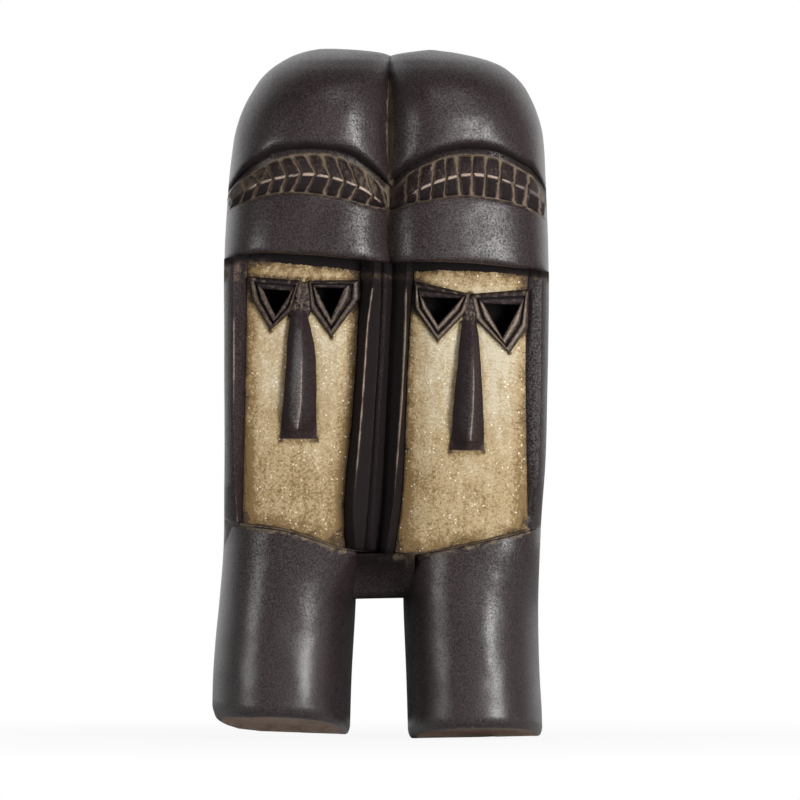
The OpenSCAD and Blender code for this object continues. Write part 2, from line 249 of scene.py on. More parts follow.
# Depth of the valley where the heads meet, and the uprights of each head from there outwards, as x by height.
VALLEY_DEPTH = 43.0
POST_DEPTHS = {-1: (48.6, 46.8, 52.0), 1: (52.0,)}
POSTS = {
    -1: [
        smooth_curve((95, -7.6), (131, -5.4), (170, -3.2), (197, -1.3), (225, -0.3), (242, 0.0)),
        smooth_curve((95, -11.6), (131, -8.6), (170, -6.0), (197, -4.3), (225, -3.1), (242, -2.8)),
        smooth_curve(
            (95, -15.6), (113, -17.0), (141, -14.9), (165, -12.9), (189, -11.2), (211, -9.6), (232, -6.8),
            (242, -6.2))],
    1: [
        smooth_curve(
            (95, -0.6), (123.5, 3.6), (156, 6.4), (171, 7.5), (184, 8.2), (204, 9.2), (230, 9.8), (242, 10))],
}
# Sides of each face's floor, and the crest outside it, as x by height.
PANEL_INNER = {
    -1: smooth_curve((95, -20.9), (120, -21.2), (161, -17.4), (200, -14.9), (232, -13.3), (242, -12.9)),
    1: smooth_curve((93, 3.2), (113, 6.4), (144, 8.6), (165, 9.3), (203, 10.9), (235, 13.3), (242, 13.8)),
}
PANEL_OUTER = {
    -1: smooth_curve((95, -73.4), (109, -73.3), (150, -72.4), (200, -71.5), (242, -70.6)),
    1: smooth_curve((93, 71.6), (110, 71.3), (150, 70.6), (200, 70.3), (235, 71.4), (242, 72.0)),
}
CREST_OUTER = {
    -1: smooth_curve((95, -74.6), (109, -75.4), (130, -76.6), (200, -77.3), (242, -77.2)),
    1: smooth_curve((93, 72.4), (106, 73.4), (130, 75.8), (200, 77.6), (242, 78.0)),
}
# Middle of each face's rounded floor.
FACE_MID = {-1: -44.0, 1: 42.0}

# By height: how square a head's section is, the cheeks' depth, and what crowns and foreheads gain in depth.
SQUARE = polyline((80, 2.5), (96, 3), (112, 4), (128, 6), (240.9, 6), (241, 3.1), (290, 2.7), (350, 2.35))
LOW_DEPTH = polyline(
    (84, 16), (88, 25), (92, 37), (95, 44), (98, 47.5), (102, 50), (110, 51.6), (120, 52), (250, 52))
CROWN_SHAPE = smooth_curve(
    (262, -2.6), (284, -1.0), (298, 0), (307, 0), (318, -0.9), (327, -3.9), (334, -9), (340, -16.5),
    (345, -27), (348, -39), (349.4, -48), (350, -56))
FOREHEAD_SHAPE = smooth_curve((234, 0), (246, 0), (253, -0.15), (262, -0.9), (272, -2.1), (285, -4.2))

# Eyes: corners of each socket, and of its frame's outline, clockwise from the upper left one: left and right
# ends of the brow bar, the right arm's knee, the tip, and the left arm's knee.
EYES = [
    (-1, [(-62.8, 227.6), (-48.2, 226.4), (-56.2, 213.9)],
     [(-70.4, 234.2), (-44.2, 232.0), (-48.6, 215.4), (-59.0, 206.2), (-68.6, 222.6)]),
    (-1, [(-36.2, 228.3), (-21.6, 227.8), (-28.3, 212.7)],
     [(-39.8, 231.9), (-13.6, 232.2), (-12.6, 223.0), (-28.1, 202.6), (-39.0, 217.2)]),
    (1, [(17.2, 223.4), (37.6, 222.7), (25.7, 209.4)],
     [(13.8, 231.9), (42.0, 225.2), (40.2, 215.4), (25.6, 200.5), (13.2, 217.8)]),
    (1, [(48.9, 220.0), (67.4, 219.6), (58.2, 202.8)],
     [(42.0, 225.2), (71.8, 227.8), (71.2, 207.6), (61.9, 194.7), (43.9, 212.3)]),
]
# Rough wood left between each pair of eyes, above the nose.
BRIDGES = [
    (-1, [(-47.0, 231.6), (-37.6, 231.4), (-37.2, 219.0), (-39.2, 213.2), (-49.6, 212.6), (-50.6, 217.4),
          (-46.6, 222.0)]),
    (1, [(38.0, 225.4), (46.0, 225.2), (45.4, 215.0), (45.6, 210.8), (38.2, 210.6), (38.4, 215.6)]),
]
# Noses by height: left edge, right edge, ridge, and how much of its full height each edge and the ridge have.
NOSES = {
    -1: [
        (216.5, -48.2, -40.4, -43.6, 0.28, 0.42), (213, -48.9, -39.6, -43.4, 0.30, 0.60),
        (207, -49.8, -38.2, -43.2, 0.34, 0.78), (200, -50.4, -36.6, -42.9, 0.38, 0.88),
        (192, -50.7, -35.8, -42.8, 0.42, 0.94), (182, -51.5, -35.5, -43.0, 0.45, 0.98),
        (170, -52.3, -35.5, -43.3, 0.47, 1.0), (163.5, -52.9, -35.4, -44.1, 0.46, 1.0),
        (159.5, -53.4, -35.3, -44.8, 0.38, 0.99), (156.6, -53.6, -35.3, -45.2, 0.32, 0.95),
        (155.9, -53.7, -35.3, -45.2, 0.31, 0.80), (152, -54.0, -35.3, -44.8, 0.25, 0.50)],
    1: [
        (211.6, 38.0, 45.0, 43.2, 0.34, 0.44), (206, 37.3, 46.0, 43.4, 0.36, 0.62),
        (198, 36.4, 46.9, 43.6, 0.40, 0.80), (190, 35.8, 47.4, 43.8, 0.43, 0.90),
        (180, 34.6, 47.9, 43.8, 0.45, 0.96), (168, 33.6, 48.6, 43.6, 0.47, 1.0),
        (160, 33.0, 48.9, 42.9, 0.46, 1.0), (154, 32.5, 49.2, 42.4, 0.38, 0.99),
        (150.8, 32.2, 49.1, 42.2, 0.32, 0.95), (150.1, 32.1, 49.1, 42.1, 0.31, 0.80),
        (146.2, 31.5, 48.7, 41.6, 0.25, 0.50)],
}


def head_edges(side, h):
    """Inner and outer edge of a head at a height."""
    outer = side * OUTER[side](h)
    inner = MEET(h) - side * BACK_LAP + side * TOP_DRAW[side](h)
    return inner, outer


def uprights(side, h):
    """x of the upright lines at a height: inner edge, meeting line, posts, face's sides, crest, outer edge."""
    inner, outer = head_edges(side, h)
    lines = [inner, MEET(h)] + [line(h) for line in POSTS[side]]
    return lines + [PANEL_INNER[side](h), PANEL_OUTER[side](h), CREST_OUTER[side](h), outer]


def face_floor(side, x, size):
    """Depth of a face's rounded floor."""
    r = size.floor_radius
    return size.floor_depth - r + np.sqrt(r * r - (x - FACE_MID[side]) ** 2)


def squared(t, n):
    """Share of the full depth across a section, from -1 to 1: an ellipse where n is 2, squarer above."""
    return np.maximum(0, 1 - np.abs(t) ** n) ** (1 / n)


def between_edges(x, inner, outer):
    """Where x lies between two edges, from -1 to 1."""
    return 2 * (x - inner) / (outer - inner) - 1


def cheek_share(h):
    """Share of the cheeks' full depth that they have at a height."""
    return LOW_DEPTH(h) / FULL_CHEEK


def cheek_surface(side, x, h, size):
    """Depth of a head's uncarved cheek, where it runs behind the face."""
    t = between_edges(x, *head_edges(side, h))
    return cheek_share(h) * size.cheek_depth * squared(t, SQUARE(np.minimum(h, FACE_TOP)))


def groove_surface(side, x, h, size):
    """Depth of the floor of a brow groove."""
    t = between_edges(x, *head_edges(side, h))
    return size.groove_depth * squared(t, SQUARE(np.maximum(h, FOREHEAD_LOW)))


def sunk_floor(side, x, h, size):
    """Depth of the face floor, which dips with the cheek near the foot."""
    return np.minimum(face_floor(side, x, size), cheek_surface(side, x, h, size) - 1.0)


# ---------------------------------------------------------------- mesh helpers

def new_mesh(name, points, faces, materials, indices=None, marks=None, smooth_angle=40):
    """Makes a mesh object from millimetres above the foot, with named values at its points."""
    points = np.asarray(points, float)
    if enclosed(points, faces) < 0:
        faces = [list(f)[::-1] for f in faces]
    co = points * MM
    co[:, 2] += FOOT * MM
    mesh = bpy.data.meshes.new(name)
    mesh.from_pydata(co.tolist(), [], faces)
    for m in materials:
        mesh.materials.append(m)
    if indices is not None:
        mesh.polygons.foreach_set("material_index", np.asarray(indices, np.int32))
    for key, values in (marks or {}).items():
        set_mark(mesh, key, values)
    mesh.validate()
    finish_shading(mesh, smooth_angle)
    piece = bpy.data.objects.new(name, mesh)
    bpy.context.scene.collection.objects.link(piece)
    return piece


def enclosed(points, faces):
    """Signed volume of a closed mesh: positive where its faces look outwards."""
    fans = np.array([(f[0], f[i], f[i + 1]) for f in faces for i in range(1, len(f) - 1)])
    a, b, c = points[fans[:, 0]], points[fans[:, 1]], points[fans[:, 2]]
    return float(np.sum(a * np.cross(b, c)) / 6)


def set_mark(mesh, key, values):
    """Gives the points of a mesh named values, which its material reads."""
    layer = mesh.attributes.get(key) or mesh.attributes.new(key, "FLOAT", "POINT")
    layer.data.foreach_set("value", np.asarray(values, np.float32))


def finish_shading(mesh, angle):
    """Shades a mesh smooth, with edges sharper than an angle in degrees left sharp."""
    mesh.polygons.foreach_set("use_smooth", np.ones(len(mesh.polygons), bool))
    mesh.set_sharp_from_angle(angle=math.radians(angle))
    mesh.update()


def mesh_points(mesh):
    """Points of a mesh in millimetres, with heights above the foot."""
    co = np.empty(len(mesh.vertices) * 3)
    mesh.vertices.foreach_get("co", co)
    co = co.reshape(-1, 3) * 1000
    co[:, 2] -= FOOT
    return co


def circle(x, h, r, degrees):
    """Points of a circle in x and height."""
    return [(x + r * math.cos(a), h + r * math.sin(a)) for a in np.radians(degrees)]


def grid_faces(rows, cols, closed=False):
    """Quads between the points of a grid, whose rows may each be closed."""
    r, c = np.meshgrid(np.arange(rows - 1), np.arange(cols if closed else cols - 1), indexing="ij")
    n = (c + 1) % cols
    quads = np.stack([r * cols + c, r * cols + n, (r + 1) * cols + n, (r + 1) * cols + c], -1)
    return quads.reshape(-1, 4).tolist()


def tube(sections):
    """Points and faces of a solid through closed sections, with capped ends."""
    rows, cols = sections.shape[:2]
    ends = [list(range(cols))[::-1], list(range((rows - 1) * cols, rows * cols))]
    return sections.reshape(-1, 3), grid_faces(rows, cols, True) + ends


def slab(front, back, keep):
    """A closed sheet between two grids of points, where keep says which of its cells are there."""
    rows, cols = front.shape[:2]
    cells = np.array(grid_faces(rows, cols)).reshape(rows - 1, cols - 1, 4)[keep]
    count = rows * cols
    faces = [cells, cells[:, ::-1] + count]
    edges = np.concatenate([cells[:, [i, (i + 1) % 4]] for i in range(4)])
    key = edges.min(1).astype(np.int64) * count + edges.max(1)
    _, first, times = np.unique(key, return_index=True, return_counts=True)
    rim = edges[first[times == 1]]
    faces.append(np.stack([rim[:, 1], rim[:, 0], rim[:, 0] + count, rim[:, 1] + count], 1))
    faces = np.concatenate(faces)
    used = np.unique(faces)
    place = np.full(2 * count, -1)
    place[used] = np.arange(len(used))
    faces = place[faces]
    points = np.concatenate([front.reshape(-1, 3), back.reshape(-1, 3)])[used]
    return points, faces.tolist(), used % count


def inside(points, outline):
    """Which points lie inside an outline."""
    x, z = points[..., 0], points[..., 1]
    hit = np.zeros(x.shape, bool)
    n = len(outline)
    for i in range(n):
        (x1, z1), (x2, z2) = outline[i], outline[(i + 1) % n]
        cross = (z1 > z) != (z2 > z)
        hit ^= cross & (x < (x2 - x1) * (z - z1) / (z2 - z1 + 1e-12) + x1)
    return hit


def carve(target, cutters, operation="DIFFERENCE"):
    """Applies booleans of a solid with each cutter, then removes the cutters."""
    for cutter in cutters:
        mod = target.modifiers.new("carve", "BOOLEAN")
        mod.operation, mod.solver, mod.object = operation, "MANIFOLD", cutter
        bpy.context.view_layer.update()
        shape = bpy.data.meshes.new_from_object(target.evaluated_get(bpy.context.evaluated_depsgraph_get()))
        target.modifiers.remove(mod)
        if not len(shape.polygons):
            raise RuntimeError(f"nothing is left of {target.name} after {cutter.name}")
        old, target.data = target.data, shape
        bpy.data.meshes.remove(old)
        bpy.data.objects.remove(cutter)


def prism(name, outline, start, end, finish):
    """A cutter from an outline in x and height, between two depths, with the finish that it leaves."""
    n = len(outline)
    pts = [(x, -depth, h) for depth in (start, end) for x, h in outline]
    faces = [[i, (i + 1) % n, n + (i + 1) % n, n + i] for i in range(n)]
    faces += [list(range(n))[::-1], list(range(n, 2 * n))]
    return new_mesh(name, pts, faces, carving_finishes(), [finish] * len(faces))


def ride_mask(piece, slot, *nodes):
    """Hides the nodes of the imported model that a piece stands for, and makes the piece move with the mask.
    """
    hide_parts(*nodes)
    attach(piece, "mask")


def trim_piece(name, points, faces, marks, smooth_angle):
    """A dark carved piece that belongs to the block, with its marks in the order of its points."""
    marks = {key: np.ravel(values) for key, values in marks.items()}
    piece = new_mesh(name, points, faces, [finish_of("trim_stain")], marks=marks, smooth_angle=smooth_angle)
    ride_mask(piece, "stained_wood", "carved_body")


# ---------------------------------------------------------------- materials

def scaled(rgb, share):
    """A colour made darker or lighter."""
    return [v * share for v in rgb]


class Sock:
    """A node socket that adds Math nodes when it is used in an expression."""

    def __init__(self, nodes, out):
        self.nodes, self.out = nodes, out

    def _math(self, operation, *values):
        return self.nodes.add("ShaderNodeMath", {"operation": operation}, *values)

    def __add__(self, other):
        return self._math("ADD", self, other)

    def __radd__(self, other):
        return self._math("ADD", other, self)

    def __sub__(self, other):
        return self._math("SUBTRACT", self, other)

    def __rsub__(self, other):
        return self._math("SUBTRACT", other, self)

    def __mul__(self, other):
        return self._math("MULTIPLY", self, other)

    def __rmul__(self, other):
        return self._math("MULTIPLY", other, self)

    def clamp(self):
        return self.nodes.add("ShaderNodeClamp", {}, self)

    def smooth(self, low, high):
        """Runs smoothly from 0 at low to 1 at high."""
        smoothly = {"interpolation_type": "SMOOTHSTEP"}
        return self.nodes.add("ShaderNodeMapRange", smoothly, self, low, high, 0, 1)


class Nodes:
    """The nodes of a material or of the world."""

    def __init__(self, owner):
        owner.use_nodes = True
        self.tree = owner.node_tree

    def add(self, kind, settings, *inputs, output=0, **named):
        """Adds a node: its settings first, then the values or links of its sockets."""
        node = self.tree.nodes.new(kind)
        for key, value in settings.items():
            setattr(node, key, value)
        for socket, value in list(zip(node.inputs, inputs)) + [(node.inputs[k], v) for k, v in named.items()]:
            self.feed(socket, value)
        return Sock(self, node.outputs[output])

    def surface(self, shader):
        """Links a shader to the output."""
        end = next(n for n in self.tree.nodes if "Output" in n.bl_idname)
        self.tree.links.new(shader.out, end.inputs["Surface"])

    def feed(self, socket, value):
        if isinstance(value, Sock):
            self.tree.links.new(value.out, socket)
        elif socket.type == "RGBA" and len(value) == 3:
            socket.default_value = (*value, 1)
        else:
            socket.default_value = value

    def ray(self, kind):
        """1 for rays of a kind, and 0 for others."""
        return self.add("ShaderNodeLightPath", {}, output=f"Is {kind} Ray")


class Finish(Nodes):
    """A material and the nodes that are added to it."""

    def __init__(self, name):
        self.material = bpy.data.materials.new(name)
        super().__init__(self.material)
        self.shader = self.tree.nodes["Principled BSDF"]

    def mix(self, factor, one, other):
        """Mixes two colours."""
        node = self.tree.nodes.new("ShaderNodeMix")
        node.data_type = "RGBA"
        for socket, value in ((node.inputs[0], factor), (node.inputs[6], one), (node.inputs[7], other)):
            self.feed(socket, value)
        return Sock(self, node.outputs[2])

    def place(self):
        """The surface's own coordinates, in millimetres."""
        own = self.add("ShaderNodeTexCoord", {}, output="Object")
        return self.add("ShaderNodeVectorMath", {"operation": "SCALE"}, own, Scale=1000.0)

    def stretched(self, place, scales):
        return self.add("ShaderNodeVectorMath", {"operation": "MULTIPLY"}, place, scales)

    def noise(self, place, scale, detail=2.0, rough=0.5):
        return self.add("ShaderNodeTexNoise", {}, Vector=place, Scale=scale, Detail=detail, Roughness=rough)

    def cells(self, place, scale):
        """Grains: the distance from the middle of each one, and a value that each one has to itself."""
        distance, rgb = (self.add("ShaderNodeTexVoronoi", {"feature": "F1"}, output=output, Vector=place,
                                  Scale=scale) for output in ("Distance", "Color"))
        return distance, self.add("ShaderNodeSeparateColor", {}, rgb)

    def mark(self, name):
        """The values that a piece's points carry under a name."""
        return self.add("ShaderNodeAttribute", {"attribute_name": name}, output="Fac")

    def set(self, **values):
        """Feeds the shader's own sockets, named with underscores for spaces."""
        for key, value in values.items():
            self.feed(self.shader.inputs[key.replace("_", " ")], value)

    def bump(self, height, strength, distance):
        self.set(Normal=self.add("ShaderNodeBump", {}, Strength=strength, Distance=distance, Height=height))


def stained_wood(name, c, red=0.0, gloss=0.0, grainy=0.68):
    """Dark stained wood, waxed, with pigment in its cuts, rubbed edges, painted highlights and painted shade.
    """
    f = Finish(name)
    p = f.place()
    broad = f.noise(p, 0.035, 3.0)
    grain = f.noise(f.stretched(p, (1.0, 1.0, 0.06)), 1.3, 4.0, 0.6)
    pores = f.noise(f.stretched(p, (1.0, 1.0, 0.22)), 3.2, 2.0, 0.55)
    fine = f.noise(p, 1.1, 3.0, 0.7)
    speck = fine.smooth(0.36, 0.64)
    pigment, wear, dark = f.mark("pigment"), f.mark("wear"), f.mark("dark")
    tint = (broad.smooth(0.35, 0.7) * 0.42 + red + f.mark("red")).clamp()
    base = f.mix(tint, c.stain, c.stain_red)
    base = f.mix(speck * 0.75, base, scaled(c.stain, 2.2))
    base = f.mix((1 - speck) * 0.72, base, scaled(c.stain, 0.25))
    base = f.mix(pores.smooth(0.58, 0.70) * 0.7, base, scaled(c.stain, 0.25))
    # Rubbed edges, and painted highlights on the crests, the neck rims and the nose ridges, take the lighter
    # worn colour.
    worn = (wear * (fine * 1.3 + 0.35) - 0.32).smooth(0.0, 0.55)
    base = f.mix(worn * 0.85, base, c.worn)
    rubbed = (pigment + (fine - 0.5) * 0.6 - 0.24).smooth(0.0, 0.40)
    streaked = f.mix(grain, scaled(c.pigment, 0.62), scaled(c.pigment, 1.25))
    base = f.mix(rubbed * 0.92, base, streaked)
    # Painted shade, and some darker stain: where the dark mark says, the wood runs to near black and loses its
    # wax.
    base = f.mix(dark.clamp(), base, (0.0050, 0.0028, 0.0032))
    rough = 0.41 - gloss + (fine - 0.5) * 0.5 + (broad - 0.5) * 0.2 + rubbed * 0.40 + dark * 0.4
    f.set(Base_Color=base, Roughness=rough.clamp(), Specular_IOR_Level=0.18, Coat_Roughness=0.35)
    waxed = 0.56 - grainy / 2 + speck * grainy + f.mark("polish") * 0.4
    waxed = waxed - rubbed - dark * 1.3 + (broad - 0.5) * 0.7
    f.set(Coat_Weight=waxed.clamp())
    f.bump(grain * 0.5 + fine * 1.2 - pores.smooth(0.60, 0.72) * 0.5 - rubbed * 0.15, 0.75, 0.0006)
    return f.material


def bare_wood(name, c):
    """Unstained carved wood with tool marks and stains, as on the back and the neck ends."""
    f = Finish(name)
    p = f.place()
    blotch = f.noise(p, 0.11, 4.0, 0.62)
    grain = f.noise(f.stretched(p, (1.0, 1.0, 0.05)), 1.1, 4.0, 0.6)
    fibre = f.noise(f.stretched(p, (1.0, 1.0, 0.3)), 2.6, 3.0, 0.6)
    scoop = f.add("ShaderNodeTexVoronoi", {"feature": "SMOOTH_F1"}, Vector=f.stretched(p, (1.0, 0.5, 0.45)),
                  Scale=0.11)
    base = f.mix(grain.smooth(0.35, 0.7), scaled(c.bare, 0.7), scaled(c.bare, 1.3))
    base = f.mix(blotch.smooth(0.46, 0.68) * 0.8, base, scaled(c.bare, 0.36))
    base = f.mix(fibre.smooth(0.60, 0.74) * 0.6, base, scaled(c.bare, 0.35))
    base = f.mix((blotch.smooth(0.40, 0.2) * 0.3), base, (0.30, 0.26, 0.235))
    # Painted light: the bare wood of the neck ends is lightened by the end mark, the right one more.
    base = f.mix(f.mark("end") * 0.5, base, [min(v * 2.9, 1) for v in c.bare])
    f.set(Base_Color=base, Roughness=(0.72 + (fibre - 0.5) * 0.3).clamp(), Specular_IOR_Level=0.35)
    f.bump(scoop * 1.6 + grain * 0.25 + fibre * 0.2, 0.6, 0.0006)
    return f.material


def sand_coat(name, c):
    """Gold sand and glitter in clear paint, worn through at its edges."""
    f = Finish(name)
    p = f.place()
    broad = f.noise(p, 0.06, 3.0, 0.6)
    streak = f.noise(f.stretched(p, (1.0, 1.0, 0.16)), 0.32, 4.0, 0.65)
    grit = f.noise(p, 0.8, 3.0, 0.75)
    heap, cell = f.cells(p, 1.25)
    from_middle, pick = f.cells(p, 0.72)
    round_flake = from_middle.smooth(0.40, 0.20)
    edge, pale = f.mark("edge"), f.mark("pale")
    # The pale and edge marks carry painted light and shade as well as the coat's own tone and dirt.
    tone = pale + (streak - 0.5) * 0.75 + (broad - 0.5) * 0.4
    tone = tone + (cell - 0.5) * 0.42 + (grit - 0.5) * 1.0 - edge * 0.5
    base = f.mix(tone.smooth(0.0, 0.55), c.gold_brown, c.gold)
    base = f.mix(tone.smooth(0.50, 1.05), base, c.gold_pale)
    speck = (grit + edge * 0.22 - pale * 0.06).smooth(0.64, 0.74)
    base = f.mix(speck * 0.7, base, f.mix((edge * 1.2).clamp(), (0.150, 0.092, 0.036), (0.048, 0.031, 0.018)))
    thin = (edge * 1.1 + (grit - 0.5) * 1.6 - 0.95).smooth(0.0, 0.25)
    base = f.mix(thin * 0.9, base, (0.052, 0.032, 0.020))
    # Glitter flakes take a near-white colour: partly their own pale colour, partly a painted glint.
    glint = (pick + (streak - 0.5) * 0.2).smooth(0.88, 0.94) * round_flake * (1 - speck) * (1 - thin * 0.6)
    base = f.mix(glint * 0.62, base, (0.95, 0.89, 0.72))
    f.set(Base_Color=base, Metallic=glint * 0.35, Roughness=(0.72 - glint * 0.40 + (grit - 0.5) * 0.2).clamp(),
          Specular_IOR_Level=0.3)
    f.bump((1 - heap) * 0.6 + grit * 0.9 - speck * 0.4 - thin * 0.5, 0.7, 0.0005)
    return f.material


def plated_steel(name, c):
    """Nickel-plated steel with fine brushing."""
    f = Finish(name)
    p = f.place()
    brushed = f.noise(f.stretched(p, (0.15, 1.0, 1.0)), 6.0, 2.0)
    smear = f.noise(p, 0.25, 3.0)
    base = f.mix(smear.smooth(0.4, 0.75) * 0.5, c.steel, scaled(c.steel, 0.62))
    rough = 0.27 + (smear - 0.5) * 0.25 + (brushed - 0.5) * 0.12
    f.set(Base_Color=base, Metallic=1.0, Roughness=rough.clamp())
    f.bump(brushed, 0.15, 0.00004)
    return f.material


def finish_of(name):
    """The finish of that name, made once."""
    c = bpy.context.scene.mask_colours
    makers = {
        "waxed_stain": lambda: stained_wood("waxed_stain", c),
        "trim_stain": lambda: stained_wood("trim_stain", c, red=0.35, gloss=0.05, grainy=0.4),
        "bare_carving": lambda: bare_wood("bare_carving", c),
        "gold_sand": lambda: sand_coat("gold_sand", c),
        "nickel_plate": lambda: plated_steel("nickel_plate", c),
    }
    return bpy.data.materials.get(name) or makers[name]()


def carving_finishes():
    """The block's finishes: stained outside, bare behind and at the neck ends."""
    return [finish_of("waxed_stain"), finish_of("bare_carving")]


# ---------------------------------------------------------------- the carved block

def head_columns(side):
    """Columns of a head's grid, as (zone, share of the zone), from the inner back edge to the outer one."""
    counts = [11] + [5] * (len(POSTS[side]) + 1) + [34, 6, 18]
    columns = [(zone, k / n) for zone, n in enumerate(counts) for k in range(n)]
    return columns + [(len(counts) - 1, 1.0)]


def head_layout(side, h):
    """x of every column at heights h, which hold one value for each column."""
    zone, share = np.array(head_columns(side)).T
    zone = zone.astype(int)
    lines = np.array(uprights(side, np.clip(h, PANEL_LOW, PANEL_HIGH)))
    # Columns crowd towards the edges of the back, where the surface turns fastest.
    share = np.where(zone == 0, share ** 3, share)
    share = np.where(zone == zone[-1], 1 - (1 - share) ** 3.2, share)
    col = np.arange(len(zone))
    x = lerp(lines[zone, col], lines[zone + 1, col], share)
    t = between_edges(x, lines[0], lines[-1])
    now_in, now_out = head_edges(side, h)
    return lerp(now_in, now_out, (t + 1) / 2), t, zone, share


def head_rows(side):
    """Rows of a head's grid: what sets each row's height, and which surface it lies on."""
    foot, brow, low, edge = PANEL_FOOT[side], BROW[side], BAND_LOW[side], CROWN_EDGE[side]
    top = TOP[side]
    rows = [(lambda x, s=s: lerp(84.0, foot(x) - 0.8, s), "cheek", 0.0) for s in np.linspace(0, 1, 14)]
    rows += [(lambda x: foot(x) - 0.25, "cheek", 0.12), (foot, "cheek", 0.5)]
    rows += [(lambda x, s=s: lerp(foot(x) + 0.9, brow(x), s), "panel", 0.0) for s in np.linspace(0, 1, 92)]
    for up, inset in ((0.12, 3.0), (0.35, 2.1), (0.8, 1.3), (1.5, 0.7), (2.5, 0.28), (3.8, 0.06)):
        rows.append((lambda x, up=up: brow(x) + up, "forehead", inset))
    rows += [(lambda x, s=s: lerp(brow(x) + 3.8, low(x) - 2.0, s), "forehead", 0.0)
             for s in np.linspace(0, 1, 18)[1:]]
    for down, inset in ((1.2, 0.1), (0.6, 0.35), (0.15, 0.9)):
        rows.append((lambda x, down=down: low(x) - down, "forehead", inset))
    rows += [(lambda x, s=s: lerp(low(x) + 0.2, edge(x) - 0.15, s), "groove", 0)
             for s in np.linspace(0, 1, 22)]
    for up, inset in ((0.08, 5.6), (0.3, 4.4), (0.75, 3.2), (1.4, 2.2), (2.3, 1.25), (3.5, 0.55), (5, 0.15),
                      (7, 0)):
        rows.append((lambda x, up=up: edge(x) + up, "crown", inset))
    rows += [(lambda x, s=s: lerp(edge(x) + 7, top, np.sin(s * np.pi / 2)), "crown", 0)
             for s in np.linspace(0, 1, 44)[1:]]
    return rows


def head_solid(side, size):
    """One head as a closed solid."""
    sections = []
    h = np.full(len(head_columns(side)), 100.0)
    for height, surface, inset in head_rows(side):
        # A row's height depends on x, and x on the height, so both settle in a few rounds.
        for _ in range(6):
            x, t, zone, share = head_layout(side, h)
            h = lerp(h, np.minimum(height(x), TOP[side]), 0.8)
        x, t, zone, share = head_layout(side, h)
        on_face = surface in ("cheek", "panel")
        n = SQUARE(np.minimum(h, FACE_TOP) if on_face else np.maximum(h, FOREHEAD_LOW))
        if on_face:
            full = cheek_share(h) * size.cheek_depth
        elif surface == "forehead":
            full = size.forehead_depth + FOREHEAD_SHAPE(h)
        elif surface == "groove":
            full = size.groove_depth
        else:
            full = size.crown_depth + CROWN_SHAPE(h)
        depth = np.maximum(full - inset, 0.5) * squared(t, n)
        if surface == "cheek":
            depth = depth * (1 - 0.25 * step(0.1, 2.5, PANEL_FOOT[side](x) - h))
        if surface in ("forehead", "crown"):
            depth = depth - LEAN[side] * full * (t - t ** 3)
        if surface != "panel":
            wobble = 0.28 * waves(x, h, 46, 5 + side) + 0.10 * waves(x, h, 17, 9 + side)
            depth = depth + wobble * step(0, 20, depth) * step(0, 6, np.abs(x - MEET(h)))
        else:
            depth = panel_depth(side, x, h, zone, share, depth, size)
        sections.append(np.stack([x, -np.maximum(depth, 0), h], 1))
    sections = np.array(sections)
    sections[:, [0, -1], 1] = BACK_SPARE
    points, faces = tube(sections)
    return new_mesh(f"head_{side}", points, faces, carving_finishes())


def panel_depth(side, x, h, zone, share, cheek, size):
    """Depth across a face: valley, posts, wall, floor, wall and outer crest."""
    fade = cheek_share(h)
    levels = [VALLEY_DEPTH * fade] + [d / FULL_CHEEK * size.cheek_depth * fade for d in POST_DEPTHS[side]]
    inner_foot = sunk_floor(side, PANEL_INNER[side](h), h, size)
    outer_foot = sunk_floor(side, PANEL_OUTER[side](h), h, size)
    crest = cheek_surface(side, CREST_OUTER[side](h), h, size)
    depths = [levels[0] * share ** 0.8]
    for one, other in zip(levels, levels[1:]):
        bow = 0.5 * np.sin(np.pi * share) * (1 if other[0] < one[0] else -0.6)
        depths.append(lerp(one, other, share) + bow)
    depths += [lerp(levels[-1], inner_foot, np.clip(share * 1.02, 0, 1) ** 1.25),
               sunk_floor(side, x, h, size) - 0.25, lerp(outer_foot, crest, share ** 0.85), cheek]
    return np.choose(zone, depths)


def neck_end(side, x, depth):
    """Height of a neck's end face, which rises to the front and, on the left, to the outer corner."""
    rise, tilt, corner = {-1: (9.0, 3.0, 9.5), 1: (6.0, 1.5, 0.0)}[side]
    out = np.clip((-66.5 - x) / 22, 0, 0.98)
    corner = corner * (1 - np.sqrt(1 - out ** 2))
    return NECK_FOOT[side] + rise * depth / 50 + tilt * (np.abs(x) - 45) / 80 + corner


